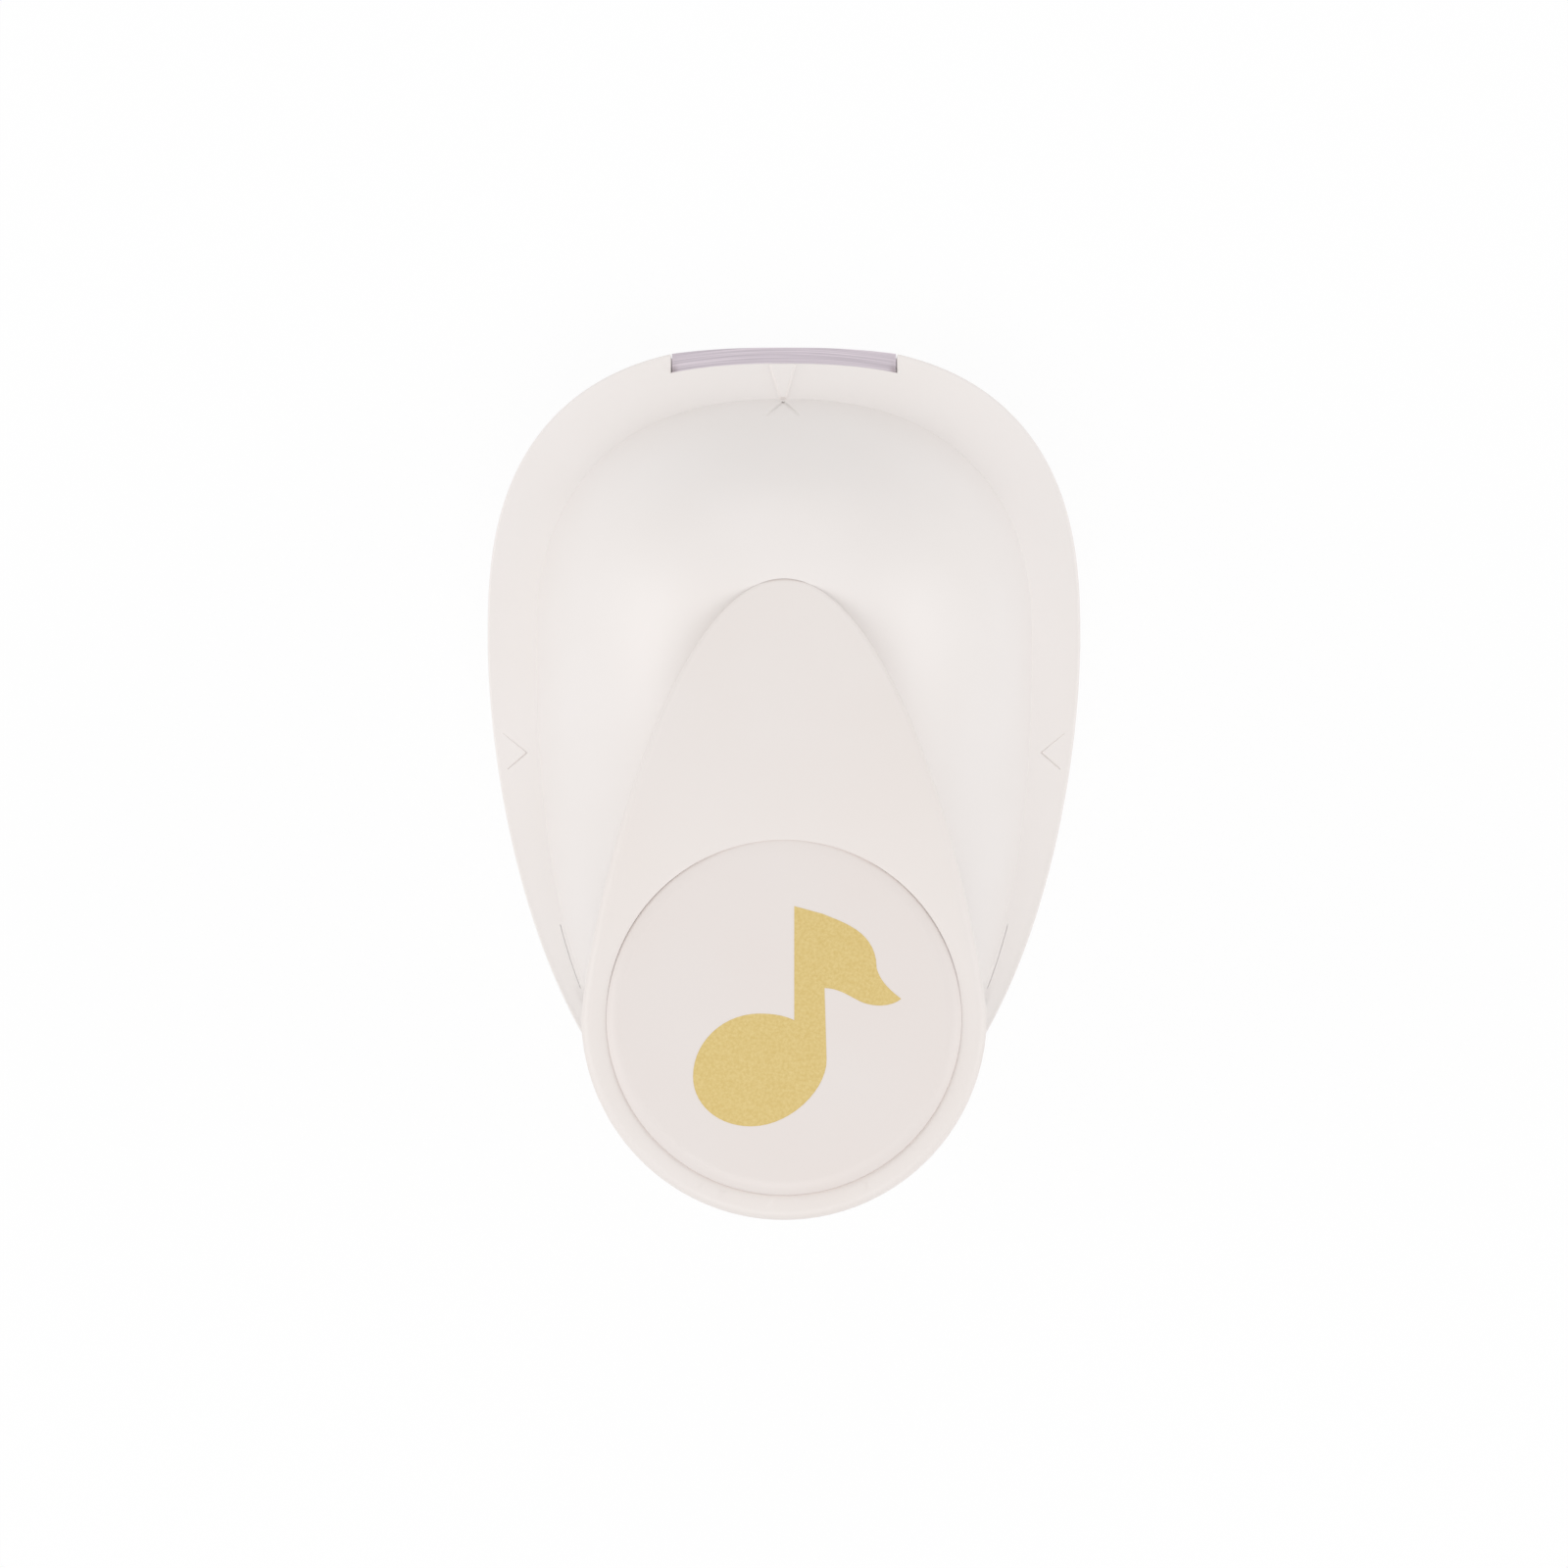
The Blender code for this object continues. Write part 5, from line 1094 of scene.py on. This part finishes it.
def make_well_tool():
    """The lever's opening, less the low wall that stays behind the mechanism."""
    outline = well_outline()
    shares = [max(min((LEVER_TIP_Y - y) / LEVER_LENGTH, 1.0), 0.0) ** 1.5 for _, y in outline]
    shares = [WELL_TIP_SHARE + (1 - WELL_TIP_SHARE) * share for share in shares]
    well = flared_cutter("lever well", outline, WELL_FLOOR_Z, housing_z, WELL_EDGE_ROUNDING, 2 * DOME_TOP_Z,
                         shares)
    return combine(well, [block("wall that stays", (-base_high.x, WALL_FRONT_Y - DOME_WALL, 0.0),
                                (base_high.x, base_high.x, WALL_TOP_Z + OVERRUN))])


def make_notch_tool():
    """The front notch, with a slightly crowned inner side and rounded upper edges."""
    arch = []
    for step in range(NOTCH_STEPS + 1):
        across = 2 * step / NOTCH_STEPS - 1
        crown = NOTCH_CROWN * (1 - abs(across) ** NOTCH_CROWN_POWER)
        arch.append((NOTCH_HALF_WIDTH * across, NOTCH_SIDE_Y + crown))
    reach = base_high.y + 4 * OVERRUN
    outline = arch + [(NOTCH_HALF_WIDTH, reach), (-NOTCH_HALF_WIDTH, reach)]
    return flared_cutter("front notch", outline, SLOT_TOP_Z - OVERRUN, housing_z, NOTCH_EDGE_ROUNDING,
                         CREASE_Z + OVERRUN)


def make_front_wedge():
    """The raised wedge at the front, which points at the middle of the note."""
    foot_y = BODY_WIDEST_Y + DOME_EGG[1]
    outline = list(zip(WEDGE_XS, (base_high.y, foot_y, foot_y, base_high.y)))
    rings = []
    for outward, rise in ((WEDGE_SLANT, -WEDGE_RISE), (-WEDGE_SLANT, WEDGE_RISE)):
        rings.append([(x, y, min(housing_z(x, y), CREASE_Z) + rise)
                      for x, y in offset_outline(outline, outward)])
    return loft("front wedge", rings)


def groove(start, reach, half_width, depths):
    """A cutter for a thin V groove that starts at a place and has its own depth at each end."""
    start = Vector(start)
    side = Vector((-reach[1], reach[0])).normalized() * half_width
    ends = ((start, depths[0]), (start + Vector(reach), depths[1]))
    corners = [(*ends[0], side), (*ends[0], -side), (*ends[1], -side), (*ends[1], side)]
    rings = []
    for spread, sink, lift in ((0.2, 1, 0.0), (1.0, 0, 0.0), (1.0, 0, 2 * OVERRUN)):
        places = [(*(place + aside * spread), depth) for place, depth, aside in corners]
        rings.append([(x, y, housing_z(x, y) - depth * sink + lift) for x, y, depth in places])
    return loft("groove", rings)


def crease_x(y):
    """Half the width of the dome's foot behind its widest place."""
    half_width, _, rear, _, powers = DOME_EGG
    return half_width * (1 - ((BODY_WIDEST_Y - y) / rear) ** powers[1]) ** (1 / powers[0])


def make_mark_tools():
    """The arrowhead at the foot of the dome, a chevron on each side and the two rear slits."""
    tools = []
    for side in (-1, 1):
        arm = (side * FRONT_MARK_ARM[0], FRONT_MARK_ARM[1])
        tools.append(groove(FRONT_MARK_APEX, arm, FRONT_MARK_HALF_WIDTH, FRONT_MARK_DEPTHS))
        apex = (side * SIDE_MARK_APEX[0], SIDE_MARK_APEX[1])
        for (across, along), half_width, depth in SIDE_MARK_ARMS:
            tools.append(groove(apex, (side * across, along), half_width, (depth, depth)))
        rows = [SLIT_YS[0] + (SLIT_YS[1] - SLIT_YS[0]) * step / SLIT_STEPS for step in range(SLIT_STEPS + 1)]
        slit = []
        for edge, ys in ((-SLIT_WIDTH / 2, rows), (SLIT_WIDTH / 2, reversed(rows))):
            slit += [(side * (crease_x(y) + SLIT_FROM_CREASE + edge), y) for y in ys]
        tools.append(flat_piece("slit", slit, FLANGE_TOP_Z - SLIT_DEPTH, CREASE_Z + 2 * OVERRUN))
    return tools


def make_upper_housing():
    housing = make_housing_shell()
    combine(housing, [make_front_wedge()], "UNION")
    combine(housing, [make_dome_hollow(), *frame_seat_tools(), make_well_tool(), make_notch_tool()])
    combine(housing, make_mark_tools())
    return fit_out(housing, "body", white_abs_painted_light, "body_plastic", "upper_housing", smooth_angle=40)


make_upper_housing()


# Housing screws: three zinc-plated pan-head screws come up from recesses in the base and hold the
# housing down behind the paper slot.

HOUSING_SCREW_RADIUS = 0.0015
HOUSING_SCREW_HEAD_HEIGHT = 0.0022

for number in (1, 2, 3):
    make_screw(f"body_screw_{number}", f"housing_screw_{number}", "body", HOUSING_SCREW_RADIUS,
               HOUSING_SCREW_HEAD_HEIGHT)


# Lever: a white ABS cover with deep skirts over the steel arm, narrow where it leaves the dome and
# round at the tail, where it carries the thumb disc in a shallow seat. Two bosses below the disc
# take the screws of the arm.

LEVER_TIP_Z = pivot.z + 0.0111
LEVER_TIP_SLOPE = math.radians(27)
LEVER_RIM_SLOPE = math.radians(5.2)
LEVER_TOP_WALL = 0.0032
LEVER_SIDE_WALL = 0.0018
LEVER_EDGE_ROUNDING = 0.001
TIP_EDGE_SHARE = 0.12
TIP_EDGE_LENGTH = 0.03
SEAT_EDGE_ROUNDING = (0.0012, 0.00016)
SEAT_END_SHARES = (0.2, 0.4)
PAD_END_SHARES = (0.2, 1.0)
LEVER_DRAFT = 0.0002
SKIRT_TIP_Z = pivot.z + 0.0041
SKIRT_TAIL_Z = pivot.z + 0.0111
SKIRT_POWER = 2.0
SKIRT_SAG = 0.003
SKIRT_SAG_YS = (0.011, -0.038)
SKIRT_EDGE_ROUNDING = 0.0004
PAD_RADIUS = 0.0183
PAD_THICKNESS = 0.002
PAD_CENTRE_Z = pivot.z + 0.023
PAD_TILT = math.radians(7)
PAD_EDGE_ROUNDING = (0.0015, 0.0007)
PAD_GAP = 0.00001
BOSS_RADIUS = 0.0035
PAD_FRONT_Y = LEVER_TAIL_Y + PAD_RADIUS * math.cos(PAD_TILT)
PAD_FRONT_Z = PAD_CENTRE_Z - PAD_RADIUS * math.sin(PAD_TILT)


def lever_top_z(x, y):
    """The height of the lever's top: a smooth rise from the tip, then a straight slant to the tail."""
    if y <= PAD_FRONT_Y:
        return PAD_FRONT_Z + (PAD_FRONT_Y - y) * math.tan(LEVER_RIM_SLOPE)
    run = LEVER_TIP_Y - PAD_FRONT_Y
    share = (LEVER_TIP_Y - y) / run
    blend = 3 * share ** 2 - 2 * share ** 3
    start_pull = share ** 3 - 2 * share ** 2 + share
    end_pull = share ** 3 - share ** 2
    return (LEVER_TIP_Z + (PAD_FRONT_Z - LEVER_TIP_Z) * blend + run * math.tan(LEVER_TIP_SLOPE) * start_pull
            + run * math.tan(LEVER_RIM_SLOPE) * end_pull)


def skirt_z(y):
    """The height of the lever's lower edge: it rises to the tail and sags over the punch."""
    share = max(LEVER_TIP_Y - y, 0.0) / (LEVER_LENGTH + LEVER_TAIL_RADIUS)
    rise = (SKIRT_TAIL_Z - SKIRT_TIP_Z) * share ** SKIRT_POWER
    front, rear = SKIRT_SAG_YS
    sag_share = min(max((front - y) / (front - rear), 0.0), 1.0)
    return SKIRT_TIP_Z + rise - SKIRT_SAG * math.sin(math.pi * sag_share) ** 2


def edge_share(angle, end_shares):
    """How much of its rounding an edge round the disc has, full at the sides, less at front or rear."""
    along = math.cos(angle)
    return 1 - (1 - end_shares[0 if along > 0 else 1]) * abs(along) ** 3


def make_lever_cover():
    """The cover as one loft: ceiling, inner wall, lower edge, outer wall, round edge and top."""
    def top(inset, drop):
        points = []
        for (x, y), (edge_x, edge_y) in zip(lever_outline(inset), lever_outline()):
            open_share = min((LEVER_TIP_Y - edge_y) / TIP_EDGE_LENGTH, 1.0)
            rounding_share = TIP_EDGE_SHARE + (1 - TIP_EDGE_SHARE) * open_share
            if inset < LEVER_EDGE_ROUNDING:
                x = edge_x + (x - edge_x) * (1 + open_share) / 2
                y = edge_y + (y - edge_y) * (1 + open_share) / 2
            points.append((x, y, lever_top_z(x, y) - min(drop, LEVER_EDGE_ROUNDING) * rounding_share
                           - max(drop - LEVER_EDGE_ROUNDING, 0.0)))
        return points

    def lower(inset, rise):
        return [(x, y, skirt_z(y) + rise) for x, y in lever_outline(inset)]

    inner = LEVER_SIDE_WALL + LEVER_DRAFT
    rows = [LEVER_TAIL_RADIUS * tenth / 10 for tenth in range(2, 11)]
    rings = [top(inset, LEVER_TOP_WALL) for inset in reversed(rows)]
    rings += [top(LEVER_SIDE_WALL + inset, LEVER_TOP_WALL + drop)
              for inset, drop in reversed(quarter_round(LEVER_EDGE_ROUNDING))]
    edge = SKIRT_EDGE_ROUNDING
    rings += [lower(inner, edge), lower(inner - edge / 3, edge / 3), lower(inner - edge, 0.0)]
    rings += [lower(LEVER_DRAFT + edge, 0.0), lower(LEVER_DRAFT + edge / 3, edge / 3)]
    rings.append(lower(LEVER_DRAFT, edge))
    rings += [top(inset, drop) for inset, drop in quarter_round(LEVER_EDGE_ROUNDING, 8)]
    rings += [top(inset, 0.0) for inset in rows]
    cover = loft("lever_cover_shell", rings, drawn_in=True)
    turns = full_turn(LEVER_STEPS)
    slant = math.tan(PAD_TILT)
    seat = []
    for angle in turns:
        x = (PAD_RADIUS + PAD_GAP) * math.sin(angle)
        along = (PAD_RADIUS + PAD_GAP) * math.cos(angle)
        y = LEVER_TAIL_Y + along * math.cos(PAD_TILT)
        above = PAD_CENTRE_Z - along * math.sin(PAD_TILT) - lever_top_z(x, y)
        seat.append((x, y - above * slant))
    seat_tool = flared_cutter("disc seat", seat, PAD_CENTRE_Z - (PAD_THICKNESS + SEAT_GAP), lever_top_z,
                              SEAT_EDGE_ROUNDING, PAD_CENTRE_Z + 4 * PAD_THICKNESS,
                              [edge_share(angle, SEAT_END_SHARES) for angle in turns])
    for vert in seat_tool.data.vertices[:LEVER_STEPS]:
        vert.co.z -= (vert.co.y - LEVER_TAIL_Y) * slant
        vert.co.y -= (lever_top_z(vert.co.x, vert.co.y) - vert.co.z) * slant
    ceiling = lever_top_z(0.0, lever_screw_places[0].y) - LEVER_TOP_WALL / 2
    combine(cover, [bar("boss", BOSS_RADIUS, arm_high.z + SEAT_GAP, ceiling, place)
                    for place in lever_screw_places], "UNION")
    screw_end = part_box("lever_screw_1")[1].z + SEAT_GAP
    tools = [bar("screw hole", LEVER_SCREW_RADIUS + SEAT_GAP, arm_high.z, screw_end, place)
             for place in lever_screw_places]
    combine(cover, [*tools, seat_tool])
    return fit_out(cover, "lever", cover_abs_painted_shade, "lever_plastic", "lever_cover", smooth_angle=40)


# Painted shade: the lever's white ABS is the housing's plastic made a little darker, to stand for shade on
# the lever.
cover_abs_painted_shade = moulded_abs("moulded white ABS, lever", "EAE4E1", "E7DFDA")
make_lever_cover()
for number in (1, 2):
    make_screw(f"cover_screw_{number}", f"lever_screw_{number}", "lever", LEVER_SCREW_RADIUS,
               LEVER_SCREW_HEAD_HEIGHT)


# Thumb disc: a flat white ABS disc whose edge slopes softly down, glued into the seat on the tail,
# where it follows the slant of the thumb.

# Painted shade: the disc's white ABS is made darker than the lever's to stand for shade on the disc. Its
# slightly pinker tone is the disc's own.
disc_abs_painted_shade = moulded_abs("moulded white ABS, disc", "E6E0DD", "E4DAD5")
DISC_STEPS = 192
DISC_EDGE_RINGS = 10


def disc_matrix():
    """Turns a disc that lies flat round the origin to its slant on the lever."""
    return Matrix.Translation((0.0, LEVER_TAIL_Y, PAD_CENTRE_Z)) @ Matrix.Rotation(-PAD_TILT, 4, "X")


def make_pad_disc():
    wide, deep = PAD_EDGE_ROUNDING
    rings = []
    profile = [(PAD_RADIUS - SEAT_GAP, -PAD_THICKNESS), (PAD_RADIUS, -PAD_THICKNESS + SEAT_GAP)]
    for step in range(DISC_EDGE_RINGS + 1):
        inward = step / DISC_EDGE_RINGS
        profile.append((PAD_RADIUS - wide * inward, -deep * (1 - inward) ** 2))
    profile += [(PAD_RADIUS * share, 0.0) for share in (0.8, 0.5, 0.2)]
    for radius, height in profile:
        ring = []
        for turn in full_turn(DISC_STEPS):
            share = 1 if height < -deep else edge_share(turn, PAD_END_SHARES)
            ring.append((radius * math.sin(turn), radius * math.cos(turn), height * share))
        rings.append(ring)
    disc = loft("pad_disc_moulding", rings)
    disc.data.transform(disc_matrix())
    return fit_out(disc, "lever", disc_abs_painted_shade, "disc_plastic", "pad_disc")


make_pad_disc()


# Note on the thumb disc: an eighth note hot-stamped in matt gold foil, which shows the shape that
# the punch cuts. The stamp leaves the foil finely speckled.

PRINT_HEIGHT = 0.0227
PRINT_CENTRE = (0.00135, 0.0)
FOIL_THICKNESS = 0.00003


def stamped_gold():
    """Hot-stamped gold foil: a metal film on lacquer, matt from the disc's grain below it."""
    roughness = 0.5
    material, shader, place = new_material("hot-stamped gold foil", "CDB77B", roughness, metallic=0.85)
    speckle = add_node(material, "ShaderNodeTexNoise", {"Scale": 1 / 0.0003, "Detail": 4.0, "Roughness": 0.7},
                       {"Vector": place})
    contrast = add_node(material, "ShaderNodeMapRange", {"From Min": 0.35, "From Max": 0.65},
                        {"Value": speckle.outputs["Fac"]})
    return finish_surface(material, shader, contrast.outputs["Result"], ("C9B172", "D3BE85"),
                          (roughness, roughness), speckle.outputs["Fac"], (0.4, 0.00002))


def make_gold_note():
    outline = note_outline(PRINT_CENTRE, PRINT_HEIGHT)
    note = flat_piece("gold_note_foil", outline, -FOIL_THICKNESS, FOIL_THICKNESS)
    note.data.transform(disc_matrix())
    return fit_out(note, "lever", stamped_gold(), "disc_plastic")


make_gold_note()


# Floor, light and camera: a white sweep under soft light from all round, seen from straight above.

PHOTO_SIZE = 1600
CAMERA_HEIGHT = 0.7
CAMERA_Y = -0.0014
FLANGE_PIXELS = 605
SENSOR_WIDTH = 36.0
FLOOR_SIZE = 6.0
FLOOR_GLOW_SHARE = 0.92
TENT_LIGHT = 0.6
SOFT_BOX_SIZE = 0.8
# Each soft box has a name, its watts and its place, and looks at the punch.
SOFT_BOXES = (
    ("rear soft box", 3.7, (0.0, -0.6, 1.05)),
    ("front soft box", 1.6, (0.0, 1.05, 0.5)),
    ("left soft box", 3.5, (-1.05, 0.0, 0.5)),
    ("right soft box", 3.1, (1.05, 0.0, 0.5)),
)


def seen_share(material):
    """1 for a ray that shows the material, straight, mirrored or through glass, 0 for one that lights."""
    rays = add_node(material, "ShaderNodeLightPath")
    seen = rays.outputs["Is Camera Ray"]
    for kind in ("Is Glossy Ray", "Is Transmission Ray"):
        seen = add_node(material, "ShaderNodeMath", {"operation": "MAXIMUM"},
                        {0: seen, 1: rays.outputs[kind]}).outputs[0]
    return seen


def make_floor():
    """A sheet of white paper that shows nearly pure white and still takes the punch's shadow."""
    bpy.ops.object.select_all(action="DESELECT")
    bpy.ops.mesh.primitive_plane_add(size=FLOOR_SIZE)
    floor = settle("floor")
    material = bpy.data.materials.new("white paper sweep")
    material.use_nodes = True
    material.node_tree.nodes.clear()
    paper = add_node(material, "ShaderNodeBsdfDiffuse", {"Color": (0.93, 0.93, 0.93, 1.0)})
    glow = add_node(material, "ShaderNodeEmission", {"Color": (1.0, 1.0, 1.0, 1.0), "Strength": 1.0})
    share = add_node(material, "ShaderNodeMath", {"operation": "MULTIPLY", 1: FLOOR_GLOW_SHARE},
                     {0: seen_share(material)})
    mix = add_node(material, "ShaderNodeMixShader", {},
                   {0: share.outputs[0], 1: paper.outputs[0], 2: glow.outputs[0]})
    add_node(material, "ShaderNodeOutputMaterial", {}, {0: mix.outputs[0]})
    floor.data.materials.append(material)


def make_world():
    """A white tent: full white where it is seen or mirrored, softer where it only lights."""
    world = bpy.data.worlds.new("white tent")
    world.use_nodes = True
    background = world.node_tree.nodes["Background"]
    background.inputs["Color"].default_value = (1.0, 1.0, 1.0, 1.0)
    strength = add_node(world, "ShaderNodeMapRange", {"To Min": TENT_LIGHT, "To Max": 1.0},
                        {"Value": seen_share(world)})
    world.node_tree.links.new(strength.outputs["Result"], background.inputs["Strength"])
    bpy.context.scene.world = world


def make_camera():
    camera = bpy.data.cameras.new("camera")
    width = base_high.x - base_low.x
    distance = CAMERA_HEIGHT - FLANGE_TOP_Z
    camera.sensor_width = SENSOR_WIDTH
    camera.lens = SENSOR_WIDTH * FLANGE_PIXELS / PHOTO_SIZE * distance / width
    camera.clip_start = 0.01
    camera.clip_end = 10.0
    holder = bpy.data.objects.new("camera", camera)
    holder.location = (0.0, CAMERA_Y, CAMERA_HEIGHT)
    bpy.context.scene.collection.objects.link(holder)
    bpy.context.scene.camera = holder


make_floor()
make_world()
for lamp_name, energy, lamp_place in SOFT_BOXES:
    lamp = bpy.data.lights.new(lamp_name, "AREA")
    lamp.size = SOFT_BOX_SIZE
    lamp.energy = energy
    lamp_holder = bpy.data.objects.new(lamp_name, lamp)
    lamp_holder.location = lamp_place
    lamp_holder.rotation_euler = (-Vector(lamp_place)).to_track_quat("-Z", "Y").to_euler()
    bpy.context.scene.collection.objects.link(lamp_holder)
make_camera()
bpy.context.scene.view_settings.view_transform = "Standard"
